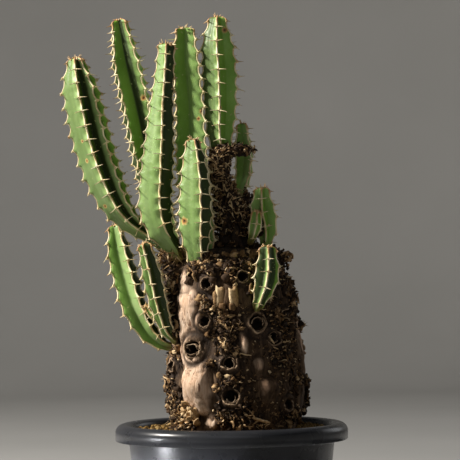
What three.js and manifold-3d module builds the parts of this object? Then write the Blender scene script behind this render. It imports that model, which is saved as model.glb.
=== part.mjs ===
// Potted candelabra euphorbia: a swollen woody base in a round plastic pot, with ribbed green
// stems that carry a pale horny margin and paired spines. Millimetres, +Z up.
// The origin is the centre of the pot's underside, and the plant is seen from the -Y side.

import * as THREE from 'three';
import { mergeVertices } from 'three/addons/utils/BufferGeometryUtils.js';
import Module from 'manifold-3d';

const wasm = await Module();
wasm.setup();

// Driving dimensions
const CLEARANCE = 0.3;

const POT = {
  rimRadius: 75, rimHeight: 10.5, rimLip: 2.2, rimCrown: 69.5, mouthRadius: 67, mouthDrop: 0.5,
  webTop: 4.4, webBottom: 5.7, height: 132, wallTop: 66.3, wallBottom: 53, wall: 2.2,
  innerDrop: 3.5, floorRadius: 50, floor: 5, foot: 2.5, footWidth: 5, footSlope: 1.5, padRadius: 16,
  drainRadius: 5, drainCircle: 32, drains: 5, drainSides: 10, sides: 32,
};
// Rounding of the rim's outer edge: [inwards from the rim's radius, down from its top]
const RIM_ROUNDING = [[0, 4.6], [1.2, 2], [3, 0.6]];
const SOIL = { level: 128, edgeDrop: 2.5, grain: 1.1, rings: 3, overlap: 4, sides: 32 };
const PLUG = { radius: 39, tipRadius: 26, depth: 26 };

const STEM = {
  pitch: 12.4, scallop: 1.9, valleyShare: 0.42, neckShare: 0.72, neckRadius: 3.5,
  fullRadius: 8, crownRise: 1.4, hubRadius: 1.5, hornStart: 10, hornWidth: 2.3, hornToothRise: 1.7,
  hornRise: 1.0, toothHalf: 0.7, spine: 6.2, spineSpread: 1.15, spineRoot: 0.8, shortSpine: 0.3,
  seatDepth: 9,
};
const SEAT = { steps: 4, step: 8.5, sides: 6, clear: 3.2 };

// Stems: rib directions in degrees, counted from the front towards +X, and a path of
// [x, y, z, crest radius] from the foot to the top. Grooves are the valleys' share of the crest
// radius, each after its rib, and twist turns the ribs by half of it each way from mid-length.
const STEMS = [
  { name: 'far_left', ribs: [-90, -12, 42, 104, 176], grooves: [0.62, 0.42, 0.42, 0.42, 0.42],
    path: [[-39, 6, 240, 3.5], [-45, 6, 248, 4], [-54, 3, 255, 5.5], [-63.5, -1, 262, 7.6],
      [-72, -5, 273, 10.6], [-79, -6, 288, 13], [-86, -6, 309, 13.7], [-91, -7, 330, 13.6],
      [-95, -8, 350, 12.6], [-97.5, -8, 366, 5.5]] },
  { name: 'tall_left', ribs: [-108, -50, 46, 130, 200], grooves: [0.55, 0.34, 0.42, 0.42, 0.42],
    twist: -16,
    path: [[-33, 16, 239, 4], [-40, 19, 256, 8], [-48, 22, 285, 11.5], [-54, 25, 310, 11.8],
      [-60, 25, 340, 11.8], [-66, 24, 368, 11.5], [-70.5, 24, 394, 6]] },
  { name: 'front_left', ribs: [-76, 0, 98, 190], grooves: [0.62, 0.42, 0.42, 0.42], twist: -26,
    hornStart: 22,
    path: [[-32, -12, 237, 4], [-36, -14, 246, 5.5], [-42, -15, 256, 9], [-46.5, -14, 271, 11.5],
      [-45.2, -14, 297, 10.9], [-43.6, -14, 317, 9.7], [-42.2, -14, 338, 7.9], [-40.4, -14, 355, 6.5],
      [-38.8, -14, 374, 5.4]] },
  { name: 'centre', ribs: [-52, 48, 150, 225], grooves: [0.36, 0.42, 0.42, 0.42],
    path: [[-15, -8, 230, 4.5], [-16, -6, 241, 8], [-18, -2, 254, 12], [-22, 6, 283, 14.4],
      [-24.2, 12, 309.5, 13.6], [-25.2, 14, 342, 12.3], [-27.2, 14, 368, 11.6], [-27.2, 14, 387, 7.5]] },
  { name: 'tall_right', ribs: [-75, -3, 68, 140, 215], grooves: [0.62, 0.42, 0.42, 0.42, 0.42],
    path: [[-3, 12, 300, 4], [-3.6, 13, 308, 6.2], [-4.6, 13.4, 319, 9.2], [-4.2, 13.8, 335, 11.6],
      [-4.6, 14.4, 358, 12.8], [-6, 14, 378, 12], [-6, 14, 394, 6]] },
  { name: 'front_centre', ribs: [-80, 20, 100, 190], grooves: [0.55, 0.42, 0.42, 0.42],
    path: [[-18, -19, 228, 3.5], [-20, -23, 238, 6.5], [-21.5, -25, 255, 10.6],
      [-21.5, -25, 269, 11.2], [-21.5, -25, 288, 9.4], [-22, -24, 304, 7], [-22.5, -24, 312, 4.2]] },
  { name: 'back_right', ribs: [-62, 40, 130, 215],
    path: [[5, 14, 276, 3.2], [7.5, 23, 284, 5], [10, 28, 294, 6.8], [10.5, 30, 308, 7.3],
      [9.5, 31, 325, 4.2]] },
  { name: 'right', ribs: [-78, -5, 70, 145, 215],
    path: [[22.5, 3, 240, 3.2], [24, 4, 250, 5], [24, 4, 258, 8], [22, 4, 269, 9.2],
      [21.5, 4, 281.5, 5]] },
  { name: 'low_right', ribs: [-80, 5, 95, 190], grooves: [0.34, 0.42, 0.42, 0.42],
    path: [[16, -33, 204, 3], [19, -42, 212, 4.5], [22, -44, 221, 7.6], [23.5, -43, 230, 8.3],
      [24, -43, 243, 5.2]] },
  { name: 'low_left', ribs: [-64, 32, 118, 200], grooves: [0.34, 0.42, 0.42, 0.42],
    path: [[-34, -4, 181, 3.2], [-43, -4, 183, 4], [-52, -4, 190, 7], [-61, -3, 206, 9.5],
      [-67, 2, 225, 9.7], [-71.5, 6, 243, 9], [-74, 9, 258, 5]] },
  { name: 'low_inner', ribs: [-85, -15, 58, 125, 200],
    path: [[-32, -13, 184, 3], [-39.5, -18, 192, 4.5], [-45, -21, 209, 6.6], [-49, -22, 228, 7.2],
      [-53.5, -23, 246, 4.6]] },
];

// Woody base: [height, centre x, radius] from the soil line up, before its bulges
const BODY_RINGS = [
  [128, 2.5, 39], [135, 3, 40], [144, 3.6, 41.8], [157, 3.7, 43], [168, 3.6, 42.4],
  [180, 3.4, 41], [190, 2.6, 40.4], [201, 2, 40.2], [211, 1, 40], [221, -1, 38.6],
  [229, -2.6, 36.4], [235, -3.4, 32.5], [239.5, -3.4, 26],
];
const BODY = { sides: 24, step: 8, top: 243, grain: 1.4, calm: 5, bulgeFall: 1.6 };
// Bulges and hollows on it: [direction in degrees, height, reach, rise]
const BULGES = [
  [-36, 158, 15, 3.6], [-44, 205, 13, 2.2], [-17, 186, 9, -2.4], [17, 184, 12, 1.8],
  [33, 158, 15, 2.6], [5, 176, 8, -2], [62, 212, 12, 2], [75, 168, 14, 1.8], [-66, 182, 11, -2],
  [-82, 150, 12, 1.6], [120, 190, 16, 2.4], [165, 160, 15, 2.8], [205, 205, 15, 2.2],
  [235, 165, 15, 2.4], [150, 222, 12, -2], [190, 182, 10, -2.2], [100, 145, 12, 2],
];
// The old dried main stem in the middle: [height, centre x, radius]
const TRUNK_RINGS = [
  [236, 5, 17], [246, 4, 13], [256, 3, 10.6], [267, 1, 9.4], [275, -0.5, 8.8], [283, -2.5, 7.6],
  [298, -5, 7], [307, -4, 7.4],
];
const TRUNK = { depth: 9, sides: 12, rings: 9, top: 312, grain: 2.2 };
// Rough crowns and collars of bark that the upper stems stand on: centre and half sizes
const CROWNS = [
  [[-33, 1, 234], [14, 16, 12]],
  [[22, 3, 233], [15, 15, 14]],
  [[9, 21, 268], [8, 9, 14]],
  [[16, 7, 258], [10, 9, 6.5]],
  [[3, 10, 307], [14, 9, 5.4]],
];
const CROWN_GRAIN = 0.24;
// Room kept between a spine's tip and other parts of the plant
const ROOM = { earlierStem: 6.5, laterStem: 3.5, body: 6, trunk: 8, crown: 3, above: 4 };

// Hollow dried stumps of fallen stems: [direction in degrees, height, outer radius, reach]
const STUMPS = [
  [-39, 181, 6.4, 4], [-6, 171.5, 5.6, 3.6], [-5, 151, 5.8, 3.6], [-74, 196, 4.2, 3],
  [-73, 170, 4.6, 3], [-26, 198, 4.8, 3], [-20, 222, 4.4, 2.6], [21, 197, 6.6, 2.4],
  [36, 187, 5.4, 3], [50, 145, 4.8, 2.6], [15, 226, 4.2, 2.6], [96, 180, 5.4, 3.4],
  [128, 152, 5, 3], [150, 202, 5.4, 3.2], [182, 170, 5.8, 3.6], [226, 190, 5.2, 3.2],
  [255, 158, 4.8, 3],
];
const STUMP = { sides: 6, bore: 0.55, depth: 2.5, root: 5, tilt: 0.25, flare: 1.12 };

// Crust of dry flakes: [direction in degrees, height, reach of the patch, number of flakes]
const CRUST = [
  [-78, 160, 6, 2], [-66, 140, 8, 4], [48, 212, 9, 2], [76, 200, 9, 2], [70, 138, 8, 1],
  [-2, 230, 9, 2], [120, 215, 10, 2],
];
const FLAKE = { size: 3.6, flatness: 0.55, lift: 0.4 };
const BUD = { from: [31, 2, 232], to: [37.5, 2, 239], radius: 3.8, stalk: 1.5 };

const DEGREE = Math.PI / 180;
const FRONT = new THREE.Vector3(0, -1, 0);
const UP = new THREE.Vector3(0, 0, 1);

// Seeded random numbers from 0 to 1
function randomSource(seed) {
  let state = seed;
  return () => {
    state = (state + 0x6d2b79f5) | 0;
    let mixed = Math.imul(state ^ (state >>> 15), 1 | state);
    mixed = (mixed + Math.imul(mixed ^ (mixed >>> 7), 61 | mixed)) ^ mixed;
    return ((mixed ^ (mixed >>> 14)) >>> 0) / 4294967296;
  };
}

// Smooth uneven relief from -1 to 1 over a direction and a height
function relief(angle, height, seed) {
  const slow = Math.sin(3 * angle + 0.05 * height + seed) + Math.sin(5 * angle - 0.09 * height);
  const quick = Math.sin(11 * angle + 0.21 * height + 2 * seed) * Math.sin(0.31 * height + seed);
  return (slow + 1.4 * quick) / 3.4;
}

// Reads a list of [position, value, ...] rows at any position between them
function readRows(rows, position) {
  const last = rows.length - 2;
  let index = rows.findIndex((row, i) => i > last || position < rows[i + 1][0]);
  index = Math.min(Math.max(index, 0), last);
  const [low, high] = [rows[index], rows[index + 1]];
  const share = THREE.MathUtils.clamp((position - low[0]) / (high[0] - low[0]), 0, 1);
  return low.map((value, i) => THREE.MathUtils.lerp(value, high[i], share));
}

// Closed skin over rings of points, with a point in the middle of each end
function loft(rings, start, end) {
  const points = [...rings.flat(), start, end];
  const count = rings[0].length;
  const startIndex = points.length - 2;
  const endIndex = points.length - 1;
  const top = (rings.length - 1) * count;
  const index = [];
  for (let j = 0; j < count; j++) {
    const k = (j + 1) % count;
    for (let i = 0; i < rings.length - 1; i++) {
      const [a, b] = [i * count + j, i * count + k];
      index.push(a, b, b + count, a, b + count, a + count);
    }
    index.push(startIndex, k, j, endIndex, top + j, top + k);
  }
  return geometryFrom(points, index);
}

function geometryFrom(points, index) {
  const geometry = new THREE.BufferGeometry();
  geometry.setAttribute('position', new THREE.Float32BufferAttribute(points.flatMap((p) => p.toArray()), 3));
  geometry.setIndex(index);
  return geometry;
}

// Solids for cutting and joining
function solidFrom(geometry) {
  const bare = new THREE.BufferGeometry();
  bare.setAttribute('position', geometry.getAttribute('position'));
  if (geometry.index) bare.setIndex(geometry.index);
  const merged = mergeVertices(bare, 1e-4);
  return new wasm.Manifold(new wasm.Mesh({
    numProp: 3,
    vertProperties: new Float32Array(merged.getAttribute('position').array),
    triVerts: new Uint32Array(merged.index.array),
  }));
}

function geometryOf(solid) {
  const mesh = solid.getMesh();
  const geometry = new THREE.BufferGeometry();
  geometry.setAttribute('position', new THREE.BufferAttribute(mesh.vertProperties, 3));
  geometry.setIndex(new THREE.BufferAttribute(mesh.triVerts, 1));
  return geometry;
}

const joined = (solids) => solids.reduce((whole, solid) => whole.add(solid));
const without = (solid, cutters) => solid.subtract(joined(cutters));

function namedMesh(name, geometry, color, roughness) {
  const material = new THREE.MeshStandardMaterial({ color, roughness, metalness: 0 });
  geometry.computeVertexNormals();
  const mesh = new THREE.Mesh(geometry, material);
  mesh.name = name;
  return mesh;
}

// Round bar between two points, with a radius at each
function bar(from, to, radiusFrom, radiusTo, sides) {
  const along = to.clone().sub(from).normalize();
  const aside = new THREE.Vector3().crossVectors(along, Math.abs(along.z) > 0.9 ? FRONT : UP).normalize();
  const third = new THREE.Vector3().crossVectors(along, aside);
  const ring = (centre, radius) => Array.from({ length: sides }, (_, i) => {
    const angle = (2 * Math.PI * i) / sides;
    return centre.clone().addScaledVector(aside, radius * Math.cos(angle))
      .addScaledVector(third, radius * Math.sin(angle));
  });
  return loft([ring(from, radiusFrom), ring(to, radiusTo)], from, to);
}

const outward = (degrees) => new THREE.Vector3(Math.sin(degrees * DEGREE), -Math.cos(degrees * DEGREE), 0);

// Round cross-sections of the buried plug, which the soil's seat repeats
const plugMiddle = (height) => new THREE.Vector3(BODY_RINGS[0][1], 0, height);
const plugRing = (height, radius) => Array.from({ length: BODY.sides }, (_, i) =>
  plugMiddle(height).addScaledVector(outward((360 * i) / BODY.sides), radius));

// Pot: a lathe turned from its outline, with a turned-down lip and drain holes in the floor
function makePot() {
  const P = POT;
  const top = P.height;
  const rimBottom = top - P.rimHeight;
  const wallIn = P.wallTop - P.wall;
  const footIn = P.wallBottom - P.footWidth;
  const outline = [
    [0, 0], [P.padRadius, 0], [P.padRadius + P.footSlope, P.foot], [footIn - P.footSlope, P.foot],
    [footIn, 0], [P.wallBottom, 0], [P.wallTop, rimBottom - 1], [P.wallTop, top - P.webTop],
    [P.rimRadius - P.rimLip, top - P.webBottom], [P.rimRadius - P.rimLip, rimBottom],
    [P.rimRadius, rimBottom], ...RIM_ROUNDING.map(([inwards, down]) => [P.rimRadius - inwards, top - down]),
    [P.rimCrown, top], [P.mouthRadius, top - P.mouthDrop], [wallIn, top - P.innerDrop],
    [P.floorRadius, P.floor], [0, P.floor],
  ];
  const lathe = new THREE.LatheGeometry(outline.map(([r, z]) => new THREE.Vector2(r, z)), P.sides);
  lathe.rotateX(Math.PI / 2);
  const drains = Array.from({ length: P.drains }, (_, i) => {
    const angle = (2 * Math.PI * i) / P.drains;
    const [x, y] = [P.drainCircle * Math.cos(angle), P.drainCircle * Math.sin(angle)];
    return solidFrom(bar(new THREE.Vector3(x, y, -P.floor), new THREE.Vector3(x, y, 2 * P.floor),
      P.drainRadius, P.drainRadius, P.drainSides));
  });
  return namedMesh('pot', geometryOf(without(solidFrom(lathe), drains)), 0x3c3c44, 0.42);
}

// Soil: fills the pot, is grainy on top and holds a plain round seat for the woody base
function makeSoil() {
  const bottom = POT.floor + CLEARANCE;
  const wallIn = (z) => THREE.MathUtils.mapLinear(z, POT.floor, POT.height - POT.innerDrop,
    POT.floorRadius, POT.wallTop - POT.wall) - 3 * CLEARANCE;
  const seat = PLUG.radius + CLEARANCE;
  const ring = (radius, z, grain) => Array.from({ length: SOIL.sides }, (_, i) => {
    const angle = (2 * Math.PI * i) / SOIL.sides;
    const lift = grain * Math.sin(37.7 * i + 11.3 * radius);
    return new THREE.Vector3(radius * Math.sin(angle), -radius * Math.cos(angle), z + lift);
  });
  const outer = wallIn(SOIL.level);
  const inner = seat - SOIL.overlap;
  const rings = [ring(wallIn(bottom), bottom, 0), ring(outer, SOIL.level - SOIL.edgeDrop, 0)];
  for (let i = 0; i <= SOIL.rings; i++) {
    const radius = THREE.MathUtils.lerp(outer, inner, i / SOIL.rings);
    rings.push(ring(radius, SOIL.level, i === SOIL.rings ? 0 : SOIL.grain));
  }
  const block = loft(rings, new THREE.Vector3(0, 0, bottom), new THREE.Vector3(0, 0, SOIL.level));
  const floor = SOIL.level - PLUG.depth - CLEARANCE;
  const above = SOIL.level + SOIL.overlap;
  const slope = (PLUG.radius - PLUG.tipRadius) / PLUG.depth;
  const hole = loft([plugRing(floor, PLUG.tipRadius + CLEARANCE),
    plugRing(above, seat + SOIL.overlap * slope)], plugMiddle(floor), plugMiddle(above));
  return namedMesh('soil', geometryOf(without(solidFrom(block), [solidFrom(hole)])), 0x8a6a34, 0.95);
}

// Stems: each is an axis curve with a radius, and ribs set round it
function stemShape(stem) {
  const curve = new THREE.CatmullRomCurve3(
    stem.path.map(([x, y, z]) => new THREE.Vector3(x, y, z)), false, 'centripetal');
  curve.arcLengthDivisions = 120;
  const length = curve.getLength();
  const twist = stem.twist ?? 0;
  const section = (distance) => {
    const u = THREE.MathUtils.clamp(distance / length, 0, 1);
    const place = curve.getUtoTmapping(u) * (stem.path.length - 1);
    const index = Math.min(Math.floor(place), stem.path.length - 2);
    const radius = THREE.MathUtils.lerp(stem.path[index][3], stem.path[index + 1][3], place - index);
    const along = curve.getTangentAt(u);
    const front = FRONT.clone().addScaledVector(along, -FRONT.dot(along)).normalize();
    const side = new THREE.Vector3().crossVectors(along, front);
    return { centre: curve.getPointAt(u), along, front, side, radius, turn: twist * (u - 0.5) };
  };
  return { hornStart: STEM.hornStart, grooves: [], ...stem, length, section };
}

// Point of a cross-section at a direction, a radius, a shift to the side and a shift along
function sectionPoint(section, degrees, radius, aside = 0, along = 0) {
  const angle = (degrees + section.turn) * DEGREE;
  const [c, s] = [Math.cos(angle), Math.sin(angle)];
  return section.centre.clone()
    .addScaledVector(section.front, radius * c - aside * s)
    .addScaledVector(section.side, radius * s + aside * c)
    .addScaledVector(section.along, along);
}

// Heights of the cross-sections, half a tooth apart and counted from the top
function stations(shape) {
  const half = STEM.pitch / 2;
  const count = Math.floor((shape.length - STEM.seatDepth / 2) / half);
  return Array.from({ length: count + 1 }, (_, i) => ({ distance: shape.length - (count - i) * half,
    order: count - i }));
}

const isTooth = (order, rib) => (order + rib) % 2 === 0;
const scallopOf = (radius) => Math.min(STEM.scallop, 0.16 * radius);
const crestRadius = (radius, tooth) => radius - (tooth ? 0 : scallopOf(radius));

function valleyRadius(radius, groove = STEM.valleyShare) {
  const share = THREE.MathUtils.mapLinear(THREE.MathUtils.clamp(radius, STEM.neckRadius, STEM.fullRadius),
    STEM.neckRadius, STEM.fullRadius, STEM.neckShare, groove);
  return share * radius;
}

function middleDegrees(ribs, rib) {
  const next = rib + 1 < ribs.length ? ribs[rib + 1] : ribs[0] + 360;
  return (ribs[rib] + next) / 2;
}

// Green flesh of a stem: a crest and a valley for each rib
function makeFlesh(shape) {
  const ringAt = (distance, order) => {
    const section = shape.section(distance);
    return shape.ribs.flatMap((degrees, rib) => [
      sectionPoint(section, degrees, crestRadius(section.radius, isTooth(order, rib))),
      sectionPoint(section, middleDegrees(shape.ribs, rib),
        valleyRadius(section.radius, shape.grooves[rib])),
    ]);
  };
  const rings = [ringAt(0, 1), ...stations(shape).map(({ distance, order }) => ringAt(distance, order))];
  const [foot, top] = [shape.section(0), shape.section(shape.length)];
  return loft(rings, foot.centre, top.centre.clone().addScaledVector(top.along, STEM.crownRise));
}

// Horny margin of a stem: a ridged strip on each crest with a pair of spines at each tooth,
// and a small cap on the top where the strips meet
function makeHorn(shape, isCrowded) {
  const points = [];
  const index = [];
  const add = (point) => points.push(point) - 1;
  const ribCount = shape.ribs.length;
  const top = shape.section(shape.length);
  const lift = STEM.crownRise + 2 * CLEARANCE;
  const valleys = shape.ribs.map((_, rib) => add(sectionPoint(top,
    middleDegrees(shape.ribs, rib), STEM.hubRadius, 0, lift)));
  const under = add(top.centre.clone().addScaledVector(top.along, lift));
  const over = add(top.centre.clone().addScaledVector(top.along, lift + STEM.hornToothRise));
  const stripRing = (distance, degrees, tooth, rise, along = 0) => {
    const section = shape.section(distance);
    const bottom = crestRadius(section.radius, tooth) + CLEARANCE;
    const width = STEM.hornWidth / 2;
    return { tooth, section, degrees, left: add(sectionPoint(section, degrees, bottom, -width, along)),
      right: add(sectionPoint(section, degrees, bottom, width, along)),
      ridge: add(sectionPoint(section, degrees, bottom + rise, 0, along)) };
  };
  const quad = (a, b, c, d) => index.push(a, b, c, a, c, d);
  const spineOn = (a, b, c, d, low, side) => {
    const out = STEM.spine * Math.cos(STEM.spineSpread);
    const aside = STEM.spine * Math.sin(STEM.spineSpread);
    const reach = (share) => sectionPoint(low.section, low.degrees,
      low.section.radius + CLEARANCE + STEM.spineRoot + share * out,
      side * (STEM.spineRoot + share * aside), STEM.toothHalf);
    const tip = add(reach(isCrowded(reach(1)) || isCrowded(reach(0.6)) ? STEM.shortSpine : 1));
    index.push(a, b, tip, b, c, tip, c, d, tip, d, a, tip);
  };
  shape.ribs.forEach((degrees, rib) => {
    const rings = [];
    for (const { distance, order } of stations(shape)) {
      if (distance < shape.hornStart) continue;
      if (order === 0) {
        rings.push(stripRing(distance, degrees, isTooth(order, rib), STEM.hornToothRise, CLEARANCE));
      } else if (isTooth(order, rib)) {
        rings.push(stripRing(distance - STEM.toothHalf, degrees, true, STEM.hornToothRise));
        rings.push(stripRing(distance + STEM.toothHalf, degrees, true, STEM.hornToothRise));
      } else {
        rings.push(stripRing(distance, degrees, false, STEM.hornRise));
      }
    }
    const crown = { left: valleys[(rib + ribCount - 1) % ribCount], right: valleys[rib],
      ridge: add(sectionPoint(top, degrees, 1.4 * STEM.hubRadius, 0, lift + STEM.hornToothRise)) };
    rings.push(crown);
    index.push(rings[0].right, rings[0].ridge, rings[0].left);
    for (let i = 0; i + 1 < rings.length; i++) {
      const [low, high] = [rings[i], rings[i + 1]];
      quad(high.left, high.right, low.right, low.left);
      if (low.tooth && high.tooth) {
        spineOn(low.right, high.right, high.ridge, low.ridge, low, 1);
        spineOn(low.ridge, high.ridge, high.left, low.left, low, -1);
      } else {
        quad(low.right, high.right, high.ridge, low.ridge);
        quad(low.ridge, high.ridge, high.left, low.left);
      }
    }
    index.push(over, crown.left, crown.ridge, over, crown.ridge, crown.right);
    index.push(under, crown.right, crown.left);
  });
  return geometryFrom(points, index);
}

// Room that a stem needs in the wood near its foot: plain and round
function stemSeat(shape) {
  const ringAt = (distance, extra) => {
    const section = shape.section(distance);
    const clear = distance < STEM.hornStart / 2 ? 2 * CLEARANCE : SEAT.clear;
    return Array.from({ length: SEAT.sides }, (_, i) => sectionPoint(section, (360 * i) / SEAT.sides,
      (section.radius + clear) / Math.cos(Math.PI / SEAT.sides), 0, extra));
  };
  const rings = Array.from({ length: SEAT.steps + 1 }, (_, i) =>
    ringAt(i * SEAT.step, i === 0 ? -CLEARANCE : 0));
  const foot = shape.section(0);
  const middle = (ring) => ring.reduce((sum, p) => sum.add(p), new THREE.Vector3())
    .divideScalar(ring.length);
  return loft(rings, foot.centre.clone().addScaledVector(foot.along, -CLEARANCE), middle(rings[SEAT.steps]));
}

// Point on the woody body, or above it by a lift
function bodyPoint(degrees, height, lift = 0) {
  const [, x, radius] = readRows(BODY_RINGS, height);
  const angle = degrees * DEGREE;
  const near = (bulge) => {
    const turn = ((degrees - bulge[0] + 540) % 360) - 180;
    const gap = Math.hypot(turn * DEGREE * radius, height - bulge[1]) / bulge[2];
    return bulge[3] * Math.exp(-BODY.bulgeFall * gap * gap);
  };
  const calm = THREE.MathUtils.smoothstep(height, BODY_RINGS[0][0] + 1, BODY_RINGS[0][0] + BODY.calm);
  const rise = BULGES.reduce((sum, bulge) => sum + near(bulge), 0) + BODY.grain * relief(angle, height, 1);
  const reach = radius + calm * rise + lift;
  return new THREE.Vector3(x + reach * Math.sin(angle), -reach * Math.cos(angle), height);
}

// Woody body with its buried plug, one closed skin
function makeBody() {
  const ring = (height) => Array.from({ length: BODY.sides }, (_, i) =>
    bodyPoint((360 * i) / BODY.sides, height));
  const [low, high] = [BODY_RINGS[0][0], BODY_RINGS.at(-1)[0]];
  const rings = [plugRing(low - PLUG.depth, PLUG.tipRadius)];
  const steps = Math.round((high - low) / BODY.step);
  for (let i = 0; i <= steps; i++) rings.push(ring(THREE.MathUtils.lerp(low, high, i / steps)));
  return loft(rings, plugMiddle(low - PLUG.depth), new THREE.Vector3(BODY_RINGS.at(-1)[1], 0, BODY.top));
}

function makeTrunk() {
  const [first, last] = [TRUNK_RINGS[0], TRUNK_RINGS.at(-1)];
  const rings = Array.from({ length: TRUNK.rings }, (_, k) => {
    const height = THREE.MathUtils.lerp(first[0], last[0], k / (TRUNK.rings - 1));
    const [, x, radius] = readRows(TRUNK_RINGS, height);
    return Array.from({ length: TRUNK.sides }, (_, i) => {
      const angle = (2 * Math.PI * i) / TRUNK.sides;
      const reach = radius + TRUNK.grain * Math.sin(91 * i + 57 * k);
      return new THREE.Vector3(x + reach * Math.sin(angle), TRUNK.depth - reach * Math.cos(angle), height);
    });
  });
  return loft(rings, new THREE.Vector3(first[1], TRUNK.depth, first[0]),
    new THREE.Vector3(last[1], TRUNK.depth, TRUNK.top));
}

// Rounded lump whose corners stand in or out by a share of its size
function lump([centre, half], grain) {
  const geometry = new THREE.IcosahedronGeometry(1, 1);
  const corners = geometry.getAttribute('position');
  const corner = new THREE.Vector3();
  for (let i = 0; i < corners.count; i++) {
    corner.fromBufferAttribute(corners, i);
    const wave = Math.sin(31 * corner.x + 17 * corner.y + 43 * corner.z + centre[2]);
    corners.setXYZ(i, ...corner.multiplyScalar(1 + grain * wave).toArray());
  }
  geometry.scale(...half);
  geometry.translate(...centre);
  return geometry;
}

function flake(centre, size, random) {
  const geometry = new THREE.IcosahedronGeometry(1, 0);
  geometry.scale(size, size * (0.6 + 0.5 * random()), size * FLAKE.flatness);
  geometry.rotateX(3 * random());
  geometry.rotateY(3 * random());
  geometry.rotateZ(3 * random());
  geometry.translate(...centre.toArray());
  return geometry;
}

function makeFlakes() {
  const random = randomSource(7);
  const flakes = [];
  for (const [degrees, height, reach, count] of CRUST) {
    for (let i = 0; i < count; i++) {
      const turn = ((random() - 0.5) * 2 * reach) / (DEGREE * PLUG.radius);
      const place = bodyPoint(degrees + turn, height + (random() - 0.5) * 2 * reach, FLAKE.lift);
      flakes.push(flake(place, FLAKE.size * (0.8 + 0.5 * random()), random));
    }
  }
  return flakes.map(solidFrom);
}

function stumpBars([degrees, height, radius, reach]) {
  const direction = outward(degrees).addScaledVector(UP, STUMP.tilt).normalize();
  const mouth = bodyPoint(degrees, height).addScaledVector(direction, reach);
  const root = mouth.clone().addScaledVector(direction, -reach - STUMP.root);
  const floor = mouth.clone().addScaledVector(direction, -reach - STUMP.depth);
  const beyond = mouth.clone().addScaledVector(direction, STUMP.depth);
  return {
    wall: solidFrom(bar(root, mouth, radius * STUMP.flare, radius, STUMP.sides)),
    bore: solidFrom(bar(floor, beyond, radius * STUMP.bore, radius * (STUMP.bore + 0.1), STUMP.sides - 1)),
  };
}

// Caudex: the body, the old stem, crowns, crust and stumps as one piece, with seats for the stems
function makeCaudex(shapes) {
  const stumps = STUMPS.map(stumpBars);
  const bud = [bar(new THREE.Vector3(...BUD.from), new THREE.Vector3(...BUD.to), BUD.stalk, BUD.stalk, 6),
    lump([BUD.to, [BUD.radius, BUD.radius, BUD.radius]], 0)].map(solidFrom);
  const lumps = [makeTrunk(), ...CROWNS.map((crown) => lump(crown, CROWN_GRAIN))].map(solidFrom);
  const wood = joined([solidFrom(makeBody()), ...lumps, ...bud, ...makeFlakes(),
    ...stumps.map((stump) => stump.wall)]);
  const seats = shapes.map((shape) => solidFrom(stemSeat(shape)));
  const carved = without(wood, [...stumps.map((stump) => stump.bore), ...seats]);
  const pieces = carved.decompose().sort((a, b) => b.volume() - a.volume());
  return namedMesh('caudex', geometryOf(pieces[0]), 0x8f7a62, 0.9);
}

// Tells whether a spine tip would reach the wood or another stem
function crowdingTest(shapes, owner) {
  const others = shapes.flatMap((shape, order) => {
    if (order === owner) return [];
    const margin = order < owner ? ROOM.earlierStem : ROOM.laterStem;
    const count = Math.ceil(shape.length / 3);
    return Array.from({ length: count + 1 }, (_, i) => {
      const { centre, radius } = shape.section((i * shape.length) / count);
      return { centre, reach: radius + margin };
    });
  });
  const inBody = (tip) => {
    if (tip.z > BODY.top + ROOM.above) return false;
    const [, x, radius] = readRows(BODY_RINGS, Math.min(tip.z, BODY_RINGS.at(-1)[0]));
    return Math.hypot(tip.x - x, tip.y) < radius + ROOM.body;
  };
  const inTrunk = (tip) => {
    const [, x, radius] = readRows(TRUNK_RINGS, tip.z);
    return tip.z < TRUNK.top + ROOM.above
      && Math.hypot(tip.x - x, tip.y - TRUNK.depth) < radius + ROOM.trunk;
  };
  const inCrown = (tip) => CROWNS.some(([centre, half]) => new THREE.Vector3(...centre).distanceTo(tip)
    < Math.max(...half) + ROOM.crown);
  return (tip) => inBody(tip) || inTrunk(tip) || inCrown(tip)
    || others.some(({ centre, reach }) => centre.distanceTo(tip) < reach);
}

const shapes = STEMS.map(stemShape);
const plant = new THREE.Group();
plant.add(makePot(), makeSoil(), makeCaudex(shapes));
shapes.forEach((shape, order) => {
  plant.add(namedMesh(`stem_${shape.name}`, makeFlesh(shape), 0x6f9a55, 0.55));
  plant.add(namedMesh(`margin_${shape.name}`, makeHorn(shape, crowdingTest(shapes, order)), 0xe6dcb4, 0.6));
});

export default plant;
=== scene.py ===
"""Potted candelabra euphorbia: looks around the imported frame.

Lengths are written in millimetres and turned into metres when a mesh is made.
"""

import functools
import math

import bmesh
import bpy
import numpy as np
from mathutils import Euler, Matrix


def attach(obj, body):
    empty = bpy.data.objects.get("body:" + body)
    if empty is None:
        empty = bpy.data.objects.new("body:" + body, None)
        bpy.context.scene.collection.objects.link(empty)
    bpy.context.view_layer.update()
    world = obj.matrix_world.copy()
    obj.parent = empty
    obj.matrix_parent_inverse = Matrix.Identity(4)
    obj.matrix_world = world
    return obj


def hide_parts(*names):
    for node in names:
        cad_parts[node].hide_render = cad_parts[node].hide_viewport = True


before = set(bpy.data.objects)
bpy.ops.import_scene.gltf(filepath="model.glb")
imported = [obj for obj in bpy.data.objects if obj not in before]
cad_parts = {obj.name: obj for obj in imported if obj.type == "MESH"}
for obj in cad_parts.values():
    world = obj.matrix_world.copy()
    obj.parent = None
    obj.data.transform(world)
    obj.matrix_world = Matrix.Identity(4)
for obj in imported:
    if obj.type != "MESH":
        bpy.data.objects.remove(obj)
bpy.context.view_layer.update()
MM = 0.001

# Camera at the photograph's viewing angle: place in mm, angles in degrees
CAMERA = {"place": (0.5, -1400, 232), "pitch": 1.0, "roll": -0.7, "focal": 2165, "frame": 460,
          "sensor": 36, "clip": (0.05, 40)}
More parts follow.
